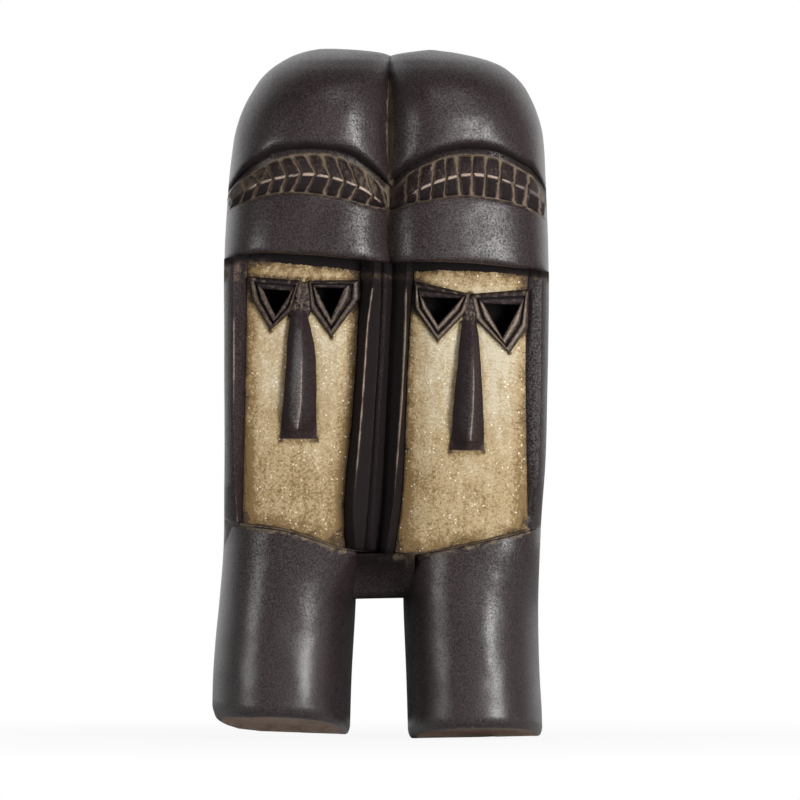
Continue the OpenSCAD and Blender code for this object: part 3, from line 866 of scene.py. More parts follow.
def neck_solid(side, size):
    """One neck as a closed solid, with a rounded rim and a sunk end face."""
    foot = NECK_FOOT[side]
    t = -np.cos(np.pi * np.linspace(0, 1, 61))
    # Height above the end, and share of the neck's full section: the end face, the rim, then the sides.
    heights = [(1.9, 0.30), (1.9, 0.62), (1.8, 0.78), (1.45, 0.83), (0.8, 0.866), (0.2, 0.896), (0.0, 0.92),
               (0.1, 0.94), (0.5, 0.96), (1.3, 0.976), (2.6, 0.99), (4.4, 1.0)]
    heights += [(k, 1.0) for k in np.linspace(6, 70, 34)] + [(k, 1.0) for k in np.linspace(72, 114, 76)]
    sections = []
    for above, shrink in heights:
        h = np.full(len(t), above + foot)
        for _ in range(3):
            inner, outer = side * SLOT[side](h), side * OUTER[side](h)
            mid, half = (inner + outer) / 2, (outer - inner) / 2
            x = mid + half * t * shrink
            wob = 0.3 * waves(x, h, 40, 21 + side) + 0.1 * waves(x, h, 15, 25 + side)
            outward = step(-0.55, 0.35, t * side) * step(64, 100, h)
            cheek = cheek_surface(side, x, np.maximum(h, 106), size)
            joined = lerp(size.neck_depth * squared(t, 2.3), cheek, outward)
            depth = joined * shrink * (1 - 0.5 * step(-0.9, 1, h - PANEL_FOOT[side](x)))
            depth = depth + wob * step(0, 16, depth)
            over = above if shrink > 0.93 else above * step(1, 9, depth)
            h = neck_end(side, x, depth) * step(60, 20, above) + over + foot * step(20, 60, above)
        sections.append(np.stack([x, -np.maximum(depth, 0), h], 1))
    sections = np.array(sections)
    sections[:, [0, -1], 1] = BACK_SPARE
    points, faces = tube(sections)
    # The end face and what lies inside the rim are bare.
    index = np.full(len(faces), STAINED)
    index[:4 * sections.shape[1]] = BARE
    index[-2] = BARE
    return new_mesh(f"neck_{side}", points, faces, carving_finishes(), index)


def web_solid():
    """The web between the necks, above the slot, hollow across and running into both."""
    x = np.linspace(-22, 14, 37)
    sections = []
    for h, inset in ((71.0, 2.4), (71.3, 1.2), (72.0, 0.4), (73, 0.0), (75, -0.6), (78, -2), (82, -4.5),
                     (86, -8.5), (89, -13), (92, -19), (94, -24)):
        y = -(20.5 - inset + 0.002 * np.abs(x - SLOT_MID) ** 2.75)
        front = np.stack([x, y, h + 0.02 * (x - SLOT_MID)], 1)
        sections.append(np.concatenate([[[x[0], BACK_SPARE, h]], front, [[x[-1], BACK_SPARE, h]]]))
    points, faces = tube(np.array(sections))
    return new_mesh("web", points, faces, carving_finishes())


def rounded_outline(mid, size, r):
    """A rectangle with rounded corners, in x and height."""
    pts = []
    for quarter, (sx, sz) in enumerate(((1, 1), (-1, 1), (-1, -1), (1, -1))):
        pts += circle(mid[0] + sx * (size[0] / 2 - r), mid[1] + sz * (size[1] / 2 - r), r,
                      90 * quarter + np.arange(0, 91, 15))
    return pts


def hollow_cutter(name, mid, size, r, depth):
    """A gouged hollow from the back, which narrows towards a rounded floor."""
    sections = []
    for share, inset in ((-0.2, 0), (0.35, 0.02), (0.6, 0.08), (0.8, 0.2), (0.93, 0.4), (0.99, 0.7),
                         (1, 0.95)):
        k = inset * r
        ring = rounded_outline(mid, (size[0] - 2 * k, size[1] - 2 * k), min(r - k * 0.6, size[0] / 2 - k - 1))
        sections.append([(x, -depth * share, h) for x, h in ring])
    points, faces = tube(np.array(sections))
    return new_mesh(name, points, faces, carving_finishes(), [BARE] * len(faces))


def body_marks(mesh):
    """Pigment, rubbed edges, redness, and painted highlights, shade and light over the block, from the carved
    lines.
    """
    x, y, h = mesh_points(mesh).T
    side = np.where(x < MEET(h), -1, 1)
    left, right = side < 0, side > 0
    foot, brow, low, tan, edge = (np.where(left, line[-1](x), line[1](x))
                                  for line in (PANEL_FOOT, BROW, BAND_LOW, TAN_LINE, CROWN_EDGE))
    foot_gap, brow_gap, over_tan, over_edge = foot - h, brow - h, h - tan, h - edge
    below_brow = h < brow + 0.05
    in_face = (h > foot) & below_brow
    between = in_face * np.where(left, x > PANEL_INNER[-1](h) - 0.2, x < PANEL_INNER[1](h) + 0.2)
    on_floor = np.where(left, (x > PANEL_OUTER[-1](h) - 1) & (x < PANEL_INNER[-1](h) + 1),
                        (x > PANEL_INNER[1](h) - 1) & (x < PANEL_OUTER[1](h) + 1))
    in_groove = (h > low + 0.1) & (h < edge - 0.05)
    inner_end = in_groove * right * step(11, 7, x)
    uneven = 0.5 + 0.5 * waves(x, h, 15, 52)

    # Pigment in the cleft, on the grooves' lines, at the brows, and at the feet and the tops of the faces.
    gap = np.abs(x - MEET(h))
    wide = 2.0 + 1.3 * step(330, 314, h) * step(288, 302, h) + 0.6 * waves(x * 0, h, 9, 41)
    cleft = step(wide, wide * 0.1, gap) * (0.60 + 0.25 * step(262, 285, h)) * (0.9 + 0.4 * waves(x, h, 12, 40))
    cleft = cleft * step(340, 326, h) * step(238, 246, h)
    cleft_end = step(5, 1, gap) * step(266, 271, h) * step(286, 276, h) * 0.8
    strip = in_groove * (0.34 * step(1.0, 0.0, over_tan) + 0.62 * step(1.9, 0.6, np.abs(over_tan - 0.3)))
    strip = np.maximum(strip, in_groove * left * (over_tan > 0) * (0.28 + 0.2 * waves(x, h, 8, 70)))
    strip = np.maximum(strip, inner_end * (0.34 + 0.3 * waves(x, h, 5, 72)))
    low_line = step(1.6, 0.1, np.abs(h - low)) * 0.62
    broken = 0.78 + 0.34 * waves(x, h, 7, 66)
    foot_line = step(4.0, 0.3, np.abs(1 - foot_gap)) * (0.50 + 0.42 * waves(x, h, 6, 62)) * on_floor
    smear = (step(-48, -30, x) * step(-14, -19, x) * step(9, 0, foot_gap)
             + step(1, 6, x) * step(40, 20, x) * step(11, 0, foot_gap)) * (foot_gap > -0.5)
    cap = between * step(230, 234, h) * step(16, 13, np.abs(x + 2))
    dust = in_face * (1 - between) * step(226, 233, h) * step(56, 62, np.abs(x))
    pigment = np.max([cleft, cleft_end, strip * broken, low_line * broken, foot_line,
                      step(2.5, 0.3, brow_gap) * below_brow * 0.2,
                      smear * (0.42 + 0.34 * waves(x, h, 5, 44)),
                      cap * (0.40 + 0.30 * waves(x, h, 4, 56)), dust * (0.36 + 0.24 * waves(x, h, 6, 68))], 0)

    # Rubbed edges on the brows' lips, the faces' feet, the crests on both sides of each face and the necks'
    # rims.
    # On the crests and the rims the lighter wood is also a painted highlight.
    lip = step(3.0, 0.4, np.abs(brow_gap + 0.6)) * 0.30
    foot_wear = step(1.1, 0.2, np.abs(0.1 - foot_gap)) * (0.40 + 0.35 * waves(x, h, 5, 60)) * on_floor
    wear = np.maximum(lip, foot_wear)
    inner_crest, rim = np.zeros_like(h), np.zeros_like(h)
    for s in SIDES:
        crest = step(0.75, 0.1, np.abs(x - POSTS[s][-1](h))) * (side == s)
        inner_crest = np.maximum(inner_crest, crest * step(105, 150, h) * step(232, 226, h))
        # The left crest is lighter still, most between heights 185 and 205: a painted highlight.
        rubbed = 0.34 + 0.2 * uneven + 0.45 * (s < 0) * step(160, 185, h) * step(222, 205, h)
        wear = np.maximum(wear, in_face * step(0.8, 0.1, np.abs(x - CREST_OUTER[s](h))) * rubbed)
        over_end = h - neck_end(s, x, -y)
        at_rim = (np.sign(x - SLOT_MID) == s) * (h < 30) * step(-0.6, 0.3, over_end) * step(3.2, 1.0, over_end)
        rim = np.maximum(rim, at_rim)
    wear = np.max([wear, in_face * inner_crest * (0.75 + 0.25 * uneven),
                   rim * (0.26 + 0.16 * waves(x, y, 9, 58))], 0)
    wear = wear * (1.0 + 0.3 * waves(x, h, 12, 50))

    # Painted shade: darker between the faces (less on the left post's front), under the brows and the crowns'
    # lips,
    # in the grooves under the crowns, at the right band's inner end, beside the slot, on the web, and a little
    # elsewhere on the faces.
    ridge = (POSTS[-1][0](h) + POSTS[-1][1](h)) / 2
    front = step(90, 190, h) * step(0.9, 0.2, np.abs(x - ridge) - 1.0)
    shade_between = 0.84 - 0.42 * front - 0.16 * front * waves(x * 6, h * 0.3, 9, 64)
    dark = (1 - dust) * between * shade_between * (1 - cap) * (1 - inner_crest) + in_face * (1 - between) * 0.25
    dark = dark + step(0.8, 2.0, over_tan) * in_groove * np.where(left, 0.12, 0.45)
    from_slot = np.where(x < SLOT_MID, -SLOT[-1](h) - x, x - SLOT[1](h))
    dark = np.max([dark, inner_end * 0.5,
                   step(11, 4, brow_gap) * below_brow * (1 - dust * step(2, 5, brow_gap)),
                   step(5.0, 1.2, over_edge) * (over_edge > -0.1) * (h < 320) * (0.62 + 0.25 * uneven),
                   step(14, 1, from_slot) * step(80, 70, h) * step(6, 12, h) * 0.9,
                   step(17, 9, np.abs(x - SLOT_MID)) * step(60, 76, h) * step(0.5, 3, foot_gap) * 0.5], 0)

    polish = np.maximum(step(105, 30, h), step(72, 80, np.abs(x)) * step(360, 300, h))
    # The end mark is painted light on the neck ends, stronger on the right.
    marks = {"pigment": pigment, "wear": wear, "red": in_face * (-y > 30) * 0.45, "dark": np.minimum(dark, 1),
             "polish": polish, "end": (h < 14) * (y < -2) * np.where(x < 0, 0.3, 0.8)}
    for key, values in marks.items():
        set_mark(mesh, key, np.clip(values, 0, 1.2))


class MASK_OT_carved_block(bpy.types.Operator):
    """Carve the block: heads, necks, web, eye sockets, hollows and the hanger's pocket"""
    bl_idname = "mask.carved_block"
    bl_label = "Carved block"

    def execute(self, context):
        size = sizes_in_mm(context)
        block = head_solid(-1, size)
        carve(block, [head_solid(1, size), neck_solid(-1, size), neck_solid(1, size), web_solid()], "UNION")
        behind = [(-110, -20), (110, -20), (110, 370), (-110, 370)]
        cutters = [prism("flat_back", behind, start=0, end=-3, finish=BARE)]
        for k, (_, socket, _) in enumerate(EYES):
            cutters.append(prism(f"socket_{k}", socket, start=size.socket_floor, end=70, finish=STAINED))
        for s in SIDES:
            cutters.append(hollow_cutter(f"hollow_{s}", mid=(s * 44, 203), size=(54, 222), r=20, depth=24))
        cutters.append(hollow_cutter("hollow_middle", mid=(0, 189), size=(60, 166), r=16, depth=17))
        pocket = rounded_outline(mid=(0, -FOOT - 12.7), size=(26, 47.6), r=3)
        cutters.append(prism("pocket", pocket, start=-STRAP_FLOOR, end=-2, finish=BARE))
        for drop in SCREW_DROPS:
            ring = circle(0, PIVOT[2] - drop - FOOT, 1.62, np.arange(0, 360, 15))
            cutters.append(prism(f"pilot_{drop}", ring, start=21, end=5, finish=BARE))
        carve(block, cutters)
        mesh = block.data
        self.sort_faces(mesh)
        body_marks(mesh)
        self.paint_socket_shade(mesh)
        finish_shading(mesh, 38)
        block.name = mesh.name = "carved_block"
        ride_mask(block, "stained_wood", "carved_body")
        return {"FINISHED"}

    def sort_faces(self, mesh):
        """Gives faces that look back, into the wall, the bare wood."""
        normals = np.empty(len(mesh.polygons) * 3)
        centres = np.empty(len(mesh.polygons) * 3)
        index = np.empty(len(mesh.polygons), np.int32)
        mesh.polygons.foreach_get("normal", normals)
        mesh.polygons.foreach_get("center", centres)
        mesh.polygons.foreach_get("material_index", index)
        normals, centres = normals.reshape(-1, 3), centres.reshape(-1, 3)
        index[(normals[:, 1] > 0.5) & (centres[:, 1] > -0.0002)] = BARE
        mesh.polygons.foreach_set("material_index", index)

    def paint_socket_shade(self, mesh):
        """Painted shade: paints the walls and floors of the eye sockets black, for the dark inside the eye
        holes.
        """
        x, y, h = mesh_points(mesh).T
        dark = np.empty(len(x), np.float32)
        mesh.attributes["dark"].data.foreach_get("value", dark)
        for _, socket, _ in EYES:
            mid = np.mean(socket, 0)
            close = inside(np.stack([x, h], -1), [mid + (np.array(p) - mid) * 1.06 for p in socket])
            dark[close & (y > -43)] = 1.0
        set_mark(mesh, "dark", dark)


# ---------------------------------------------------------------- brow bands

class MASK_OT_brow_bands(bpy.types.Operator):
    """Carve the two plaited brow bands, with pigment in their cuts and a worn rib"""
    bl_idname = "mask.brow_bands"
    bl_label = "Brow bands"

    def execute(self, context):
        for side, name in ((-1, "left_brow_band"), (1, "right_brow_band")):
            self.band(side, name, sizes_in_mm(context))
        return {"FINISHED"}

    def band(self, side, name, size):
        rng = np.random.default_rng(11 + side)
        left = side < 0
        start, end, first_cut, pitch = {-1: (-81.2, 1.2, -79.0, 1.0), 1: (7.5, 80.8, 2.3, 0.95)}[side]
        lean_above, lean_below = {-1: (-0.46, -0.46), 1: (0.05, -0.06)}[side]
        pitch = pitch * size.cut_spacing
        # Share of the way along the band, and then across it from its low line over the rib to the tan line.
        along = np.linspace(0, 1, 300)[None, :]
        rib_share = 0.54
        across = np.concatenate([np.linspace(0, rib_share, 34), np.linspace(rib_share, 1, 34)[1:]])[:, None]
        x = lerp(start, end, along)
        low, tan = BAND_LOW[side](x) + 0.5, TAN_LINE[side](x) + 0.4
        rib = np.clip(RIB[side](x), low + 1.5, tan - 1.5)
        h = np.where(across < rib_share, lerp(low, rib, across / rib_share),
                     lerp(rib, tan, (across - rib_share) / (1 - rib_share)))
        x = np.broadcast_to(x, h.shape)
        upper = h > rib
        off = np.abs(h - rib)
        # Cuts are counted from the left, and each is nudged, as a hand would place it.
        count = 16
        nudge_up, nudge_down = rng.normal(0, 0.35, count), rng.normal(0, 0.35, count)
        wide_up, wide_down = rng.uniform(0.75, 1.5, count), rng.uniform(0.75, 1.4, count)
        lean_up, lean_down = rng.normal(0, 0.07, count), rng.normal(0, 0.07, count)
        cut = np.full(h.shape, 9.0)
        for k in range(count):
            base = x - (first_cut + k * pitch + 0.32 * waves(x * 0 + 9 * k, h, 3.6, 75 + side))
            slant = lean_above + (-lean_up[k] if left else lean_up[k])
            up = np.abs(base - nudge_up[k] - slant * off)
            down = np.abs(base - nudge_down[k] * 0.6 - nudge_up[k] * 0.4 - (lean_below - lean_down[k]) * off)
            up = up / (wide_up[k] * (1 + 0.5 * step(3, 10, off)))
            down = down / (wide_down[k] * (1 + 0.2 * step(3, 9, off)))
            cut = np.minimum(cut, np.where(upper, up, down))
        from_edge = np.where(upper, tan - h, h - low)
        span = np.clip(from_edge / np.maximum(np.where(upper, tan - rib, rib - low), 0.1), 0, 1)
        rise = size.plait_height * (0.18 + 0.82 * span ** 0.85)
        dome = 0.45 * step(0.0, 2.6, cut) * np.sin(np.pi * span) ** 0.6
        ridge = 0.75 * step(1.35, 0.35, off) * step(0.3, 1.1, cut)
        groove = 1.35 * step(0.95, 0.12, cut) * (0.45 + 0.55 * step(0, 0.15, span))
        edge = 0.7 * step(0.9, 0.0, from_edge)
        height = np.maximum(rise + dome + ridge - groove - edge + 0.12 * waves(x, h, 5, 31 + side), 0.12)
        height = lerp(-0.6, height, step(0, 0.05, along) * step(1, 0.95, along))
        ground = groove_surface(side, x, h, size)
        front = np.stack([x, -(ground + height), h], -1)
        back = np.stack([x, -np.maximum(ground - 1.6, 0.2), h], -1)
        points, faces, used = slab(front, back, np.ones((h.shape[0] - 1, h.shape[1] - 1), bool))

        rubbed = 0.20 + 0.22 * waves(x, h, 4, 79)
        if left:
            rubbed = rubbed + 0.26 * step(-54, -68, x) + 0.26 * step(-24, -10, x) * step(-1, -9, x)
        pigment = np.max([step(1.0, 0.35, cut) * (0.74 + 0.3 * waves(x, h, 4, 78 + side)),
                          step(1.3, 0.3, tan - h) * 0.8, step(1.1, 0.2, h - low) * 0.42,
                          upper * (rubbed + 0.16 * waves(x, h, 9, 70 + side))], 0)
        worn_part = step(0.05 if left else 0.03, 0.22 if left else 0.14, along) * step(1.0, 0.9, along)
        wear = step(1.15, 0.45, off) * step(0.45, 0.95, cut) * worn_part
        wear = wear * (0.9 + 0.35 * (0.62 + 0.38 * waves(x, h, 30, 60 + side)))
        cell = np.clip(((x - first_cut) / pitch).astype(int), 0, count - 1)
        wear = wear * rng.uniform(0.45, 1.12, count)[cell]
        # Painted shade on the cells away from the cuts and the rib, more on the lower row, which faces down;
        # on the left, more on the upper row near its inner end.
        dark = np.where(upper, 0.42, 0.72) * step(0.7, 1.4, cut)
        dark = dark * np.maximum(step(0.9, 1.8, off), 1 - worn_part)
        if left:
            dark = np.maximum(dark, 0.45 * upper * step(-10, -4, x) * step(0.6, 1.6, tan - h))
        marks = {"pigment": pigment, "wear": wear, "dark": dark, "red": np.full(h.shape, 0.2)}
        marks = {key: values.reshape(-1)[used] for key, values in marks.items()}
        trim_piece(name, points, faces, marks, smooth_angle=60)


# ---------------------------------------------------------------- eye frames

class MASK_OT_eye_frames(bpy.types.Operator):
    """Carve the four eye frames, each a pair of raised ribs and a brow bar round a socket"""
    bl_idname = "mask.eye_frames"
    bl_label = "Eye frames"

    def execute(self, context):
        names = ("left_outer_eye", "left_inner_eye", "right_inner_eye", "right_outer_eye")
        size = sizes_in_mm(context)
        for k, (name, (side, socket, outline)) in enumerate(zip(names, EYES)):
            self.frame(name, side, np.array(socket), np.array(outline), k, size)
        for (side, outline), name in zip(BRIDGES, ("left_bridge", "right_bridge")):
            self.bridge(name, side, np.array(outline), size)
        return {"FINISHED"}

    def bridge(self, name, side, outline, size):
        """Low, rough wood between two eyes."""
        s = np.arange(9)[:, None] / 9
        ring = np.concatenate([lerp(a, b, s) for a, b in zip(outline, np.roll(outline, -1, 0))])
        sections, marks = [], {"pigment": [], "wear": [], "dark": [], "red": []}
        for share, level in ((1.0, -2.0), (1.0, 0.25), (0.94, 1.1), (0.86, 1.7), (0.72, 2.1), (0.56, 2.3),
                             (0.38, 2.2), (0.2, 2.4), (0.05, 2.3)):
            x, h = lerp(outline.mean(0), ring, share).T
            rough = waves(x, h, 3.2, 150 + side)
            rise = level + 0.45 * rough * (share < 0.9)
            sections.append(np.stack([x, -(sunk_floor(side, x, h, size) + rise), h], 1))
            marks["pigment"].append(np.clip(0.34 + 0.30 * rough, 0, 1))
            marks["wear"].append(np.clip(0.26 + 0.2 * waves(x, h, 2.4, 160 + side), 0, 1))
            # Painted shade: darker where the rough surface dips.
            marks["dark"].append(np.clip(0.15 - 0.5 * rough, 0, 0.8))
            marks["red"].append(np.zeros(len(h)))
        points, faces = tube(np.array(sections))
        trim_piece(name, points, faces, marks, smooth_angle=60)

    def frame(self, name, side, socket, outline, seed, size):
        """A ring of raised wood from a socket out to its outline: a brow bar and two arms."""
        per_side = 34
        s = np.arange(per_side)[:, None] / per_side
        inner = np.concatenate([lerp(socket[i], socket[(i + 1) % 3], s) for i in range(3)])
        outer = [lerp(outline[0], outline[1], s)]
        # Each arm bends at its knee, this far along it.
        for (top, knee, tip), bend in (((1, 2, 3), 0.38), ((3, 4, 0), 0.62)):
            top, knee, tip = outline[[top, knee, tip]]
            outer.append(np.where(s < bend, lerp(top, knee, s / bend),
                                  lerp(knee, tip, (s - bend) / (1 - bend))))
        outer = np.concatenate(outer)
        brow = np.arange(3 * per_side) < per_side
        # Share from the socket to the outline, and height of the ribs there: arms, then brow bar.
        across = [(0.0, -9.0, -9.0), (0.0, 0.55, 0.30), (0.04, 0.72, 0.42), (0.10, 0.86, 0.50),
                  (0.22, 0.94, 0.56), (0.34, 0.86, 0.60), (0.42, 0.48, 0.64), (0.48, 0.36, 0.70),
                  (0.54, 0.48, 0.78), (0.62, 0.92, 0.86), (0.72, 1.0, 0.84), (0.82, 0.92, 0.66),
                  (0.90, 0.62, 0.42), (0.96, 0.28, 0.20), (1.0, 0.02, 0.02)]
        sections, marks = [], {"pigment": [], "wear": [], "dark": [], "red": []}
        for share, arm_height, brow_height in across:
            x, h = lerp(inner, outer, share).T
            level = np.where(brow, brow_height, arm_height)
            uneven = 0.12 * waves(x, h, 6, 80 + seed) * step(-0.2, 0.4, level)
            rise = -4.0 if arm_height < 0 else size.frame_height * level + uneven
            sections.append(np.stack([x, -(sunk_floor(side, x, h, size) + rise), h], 1))
            spots = waves(x, h, 4.5, 90 + seed)
            tan = np.where(brow, 0.18 + 0.30 * spots + 0.22 * (share > 0.5) * spots, 0.38 + 0.14 * spots)
            marks["pigment"].append(np.clip(tan, 0, 1) + 0.25 * step(0.93, 1.0, share))
            on_ribs = 0.22 * (abs(share - 0.22) < 0.1) + 0.16 * (abs(share - 0.72) < 0.07)
            marks["wear"].append(np.where(brow, 0.16, 0.33 + 0.1 * side) + on_ribs)
            # Painted shade in the groove between the ribs, at the socket's edge and near the outline; the brow
            # bar is also darker in patches.
            hollow = 0.9 * (share < 0.02) + 0.8 * (abs(share - 0.48) < 0.07) + 0.5 * (abs(share - 0.93) < 0.04)
            marks["dark"].append(np.clip(hollow + brow * (0.30 - 0.2 * spots), 0, 1))
            marks["red"].append(np.zeros(len(h)))
        x, h = outer.T
        sections.append(np.stack([x, -(sunk_floor(side, x, h, size) - 2.0), h], 1))
        for values in marks.values():
            values.append(np.zeros(len(h)))
        points = np.concatenate(sections)
        faces = np.array(grid_faces(len(sections) + 1, len(h), True)) % len(points)
        trim_piece(name, points, faces.tolist(), marks, smooth_angle=50)


# ---------------------------------------------------------------- noses

class MASK_OT_noses(bpy.types.Operator):
    """Carve the two noses, each with facets up to a ridge that is lightened as a painted highlight"""
    bl_idname = "mask.noses"
    bl_label = "Noses"

    def execute(self, context):
        for side, name in ((-1, "left_nose"), (1, "right_nose")):
            self.nose(side, name, sizes_in_mm(context))
        return {"FINISHED"}

    def nose(self, side, name, size):
        full = size.nose_height
        keys = np.array(NOSES[side])[::-1]
        chamfer = np.linspace(keys[0, 0], keys[1, 0], 6)[:-1]
        levels = np.concatenate([chamfer, keys[1:3, 0], np.linspace(keys[2, 0], keys[-1, 0], 56)[1:]])
        values = np.array([np.interp(levels, keys[:, 0], keys[:, k]) for k in range(1, 6)]).T
        sections, marks = [], {"pigment": [], "wear": [], "dark": [], "red": []}
        shares = (0.12, 0.25, 0.38, 0.5, 0.62, 0.75, 0.87, 0.95)
        # From the left edge over the ridge to the right edge: painted highlights along the ridge, and painted
        # shade on the facets, most on the left ones and towards the edges.
        highlit_facets = {-1: [0, 0, 0.15, 0.25, 0.32, 0.36, 0.42, 0.52, 0.68, 0.36, 0.12] + [0] * 6,
                       1: [0] * 6 + [0.30, 0.46, 0.74, 0.46, 0.36, 0.28, 0.20] + [0] * 4}[side]
        shaded_facets = {-1: [0.60, 0.50, 0.35, 0.22, 0.12, 0.05, 0, 0, 0, 0.15, 0.30, 0.38, 0.40] + [0.42] * 4,
                       1: [0.60, 0.55, 0.50, 0.48, 0.45, 0.40, 0.20, 0, 0, 0, 0.08, 0.15, 0.20, 0.25,
                           0.30, 0.35, 0.40]}[side]
        for h, (left, right, ridge, edge, top) in zip(levels, values):
            wob = 0.18 * waves(np.array([left, right]), np.array([h, h]), 14, 100 + side)
            left, right = left + wob[0], right + wob[1]
            ends = sunk_floor(side, np.array([left, right]), np.array([h, h]), size)
            base = max(ends)
            # Below, a facet on each side runs in towards the end of the ridge.
            turn = step(levels[5] + 11, levels[5], h)

            def rise(s):
                """Depth of a facet, this share of the way from its edge to the ridge."""
                return base + full * max(lerp(edge, top, s) - 0.26 * max(0.0, turn - s), 0.14)

            ring = []
            for x, floor, way in ((left, ends[0], 1), (right, ends[1], -1)):
                half = [(x, floor - 3), (x, floor + 0.2), (x + way * 0.1, lerp(base, rise(0), 0.9)),
                        (x + way * 0.5, rise(0))]
                half += [(lerp(x + way * 0.5, ridge, s), rise(s) + 0.3 * math.sin(math.pi * s))
                         for s in shares]
                ring += half if way > 0 else [(ridge, base + full * top)] + half[::-1]
            sections.append([(x, -d, h) for x, d in ring])
            along = step(levels[5] - 1, levels[5] + 2, h) * step(levels[-1] - 8, levels[-1] - 30, h)
            # The walls at the nose's foot are darker, as painted shade.
            wear = [0, 0, 0.2, 0.25] + highlit_facets + [0.3, 0.2, 0, 0]
            marks["wear"].append([v * (along if 4 < k < 20 else 0.8) for k, v in enumerate(wear)])
            marks["pigment"].append([0.5, 0.45] + [0.04] * 21 + [0.45, 0.5])
            marks["dark"].append([0.5, 0.4, 0.5, 0.55] + shaded_facets + [0.42, 0.40, 0.4, 0.5])
            marks["red"].append([0.6] * 25)
        points, faces = tube(np.array(sections))
        trim_piece(name, points, faces, marks, smooth_angle=17)


# ---------------------------------------------------------------- face coats

class MASK_OT_face_coats(bpy.types.Operator):
    """Lay the sandy coats on the two face floors, round the noses and the eye frames"""
    bl_idname = "mask.face_coats"
    bl_label = "Face coats"

    def execute(self, context):
        size = sizes_in_mm(context)
        for side, name in ((-1, "left_coat"), (1, "right_coat")):
            self.coat(side, name, size)
        return {"FINISHED"}

    def coat(self, side, name, size):
        rng = np.random.default_rng(200 + side)
        rows, cols = 262, 112
        top = {-1: smooth_curve((-73, 241.2), (-60, 241), (-40, 239.4), (-20, 237.4), (-12, 236.4)),
               1: smooth_curve((12, 236.4), (30, 236.8), (45, 236.2), (60, 235.4), (72, 233.8))}[side]
        u = np.linspace(0, 1, cols)[None, :] * np.ones((rows, 1))
        v = np.linspace(0, 1, rows)[:, None]
        h = lerp(100, 238, v) * np.ones((1, cols))
        ragged = 0.25 * (0.5 * waves(h, h * 0, 9, 210 + side) + 0.3 * waves(h, h * 0, 3.1, 220 + side))
        for _ in range(5):
            inner = PANEL_INNER[side](h) + side * (0.35 + ragged)
            outer = PANEL_OUTER[side](h) - side * (0.3 - ragged)
            left, right = np.minimum(inner, outer), np.maximum(inner, outer)
            x = lerp(left, right, u)
            rough_end = 0.35 * waves(x, x * 0, 8, 230 + side) + 0.3 * waves(x, x * 0, 2.7, 240 + side)
            low, high = PANEL_FOOT[side](x) + 0.5 + rough_end, top(x) + rough_end
            h = lerp(low, high, v)
        from_side = np.minimum(x - left, right - x)
        border = np.minimum(from_side, np.minimum(h - low, high - h))
        grain = rng.normal(0, 0.045, h.shape)
        grain = grain + 0.06 * waves(x, h, 3, 250 + side) + 0.10 * waves(x, h, 12, 260 + side)
        thick = size.coat_thickness * (0.35 + 0.65 * step(0, 1.2, border)) + grain * step(0, 0.8, border)
        ground = sunk_floor(side, x, h, size)
        front = np.stack([x, -(ground + np.maximum(thick, 0.12)), h], -1)
        back = np.stack([x, -(ground - 0.5), h], -1)
        place = np.stack([x, h], -1)
        cell = (place[1:, 1:] + place[:-1, :-1]) / 2
        keep = np.ones(cell.shape[:2], bool)
        # Along its borders, the eye frames and the nose the coat is thin and dirty.
        edge = step(10, 0.0, h - low) + step(6.5, 0.2, from_side) * 0.85 + step(5, 0, high - h) * 0.7
        # Along the top, under the brows, the edge mark also darkens the coat as painted shade.
        edge = edge * (0.75 + 0.45 * waves(x, h, 16, 274 + side)) + 0.28 * step(225, 231, h)
        for s, socket, outline in EYES:
            if s != side:
                continue
            outline = np.array(outline)
            keep &= ~inside(cell, lerp(np.array(socket), outline[[0, 1, 3]], 0.3))
            for a, b in zip(outline, np.roll(outline, -1, 0)):
                t = np.clip(((place - a) @ (b - a)) / ((b - a) @ (b - a)), 0, 1)
                edge += 0.6 * step(2.4, 0.2, np.linalg.norm(place - (a + t[..., None] * (b - a)), axis=-1))
        keys = np.array(NOSES[side])[::-1]
        nose_left, nose_right = (np.interp(h, keys[:, 0], keys[:, k]) for k in (1, 2))
        beside = np.minimum(np.abs(x - nose_left), np.abs(x - nose_right))
        edge += 0.6 * step(2.6, 0.2, beside) * (h > keys[0, 0] - 2) * (h < keys[-1, 0])
        edge += 0.6 * step(3.5, 0.0, np.abs(h - keys[0, 0] + 1)) * (x > nose_left - 1) * (x < nose_right + 1)
        edge = np.clip(edge + 0.18 * waves(x, h, 22, 270 + side), 0, 1.1)
        # Paler higher up; the right coat is paler than the left, and paler still towards its right end, as
        # painted light; browner beside the sides.
        below, above, lit_right_end = {-1: (0.34, 0.42, 0.0), 1: (0.40, 0.50, 0.08)}[side]
        pale = below + above * step(118, 205, h) - 0.34 * step(11, 1, from_side)
        pale = pale + lit_right_end * step(30, 55, x) + 0.10 * waves(x, h, 30, 280 + side)
        # Painted shade: the coat is darker along its top, under the brows.
        pale = pale - (0.30 + 0.08 * side + 0.2 * waves(x, h, 5, 286)) * step(225, 231, h)
        points, faces, used = slab(front, back, keep)
        marks = {"edge": edge.reshape(-1)[used], "pale": pale.reshape(-1)[used]}
        piece = new_mesh(name, points, faces, [finish_of("gold_sand")], marks=marks, smooth_angle=70)
        ride_mask(piece, "sand_coat", {-1: "left_face_coat", 1: "right_face_coat"}[side])


# ---------------------------------------------------------------- hanger

# From the wall nail: the middle of the ring's straight side, which is the hinge, and the pocket's floor.
PIVOT = np.array([0.0, -5.02, -9.7])
STRAP_FLOOR = -7.0
# Radius of the ring's wire, and the inner and outer radius of the strap's fold round it.
WIRE = 1.1
LOOP_IN, LOOP_OUT = 1.18, 1.98
# How far the screws stand below the hinge.
SCREW_DROPS = (6, 18)


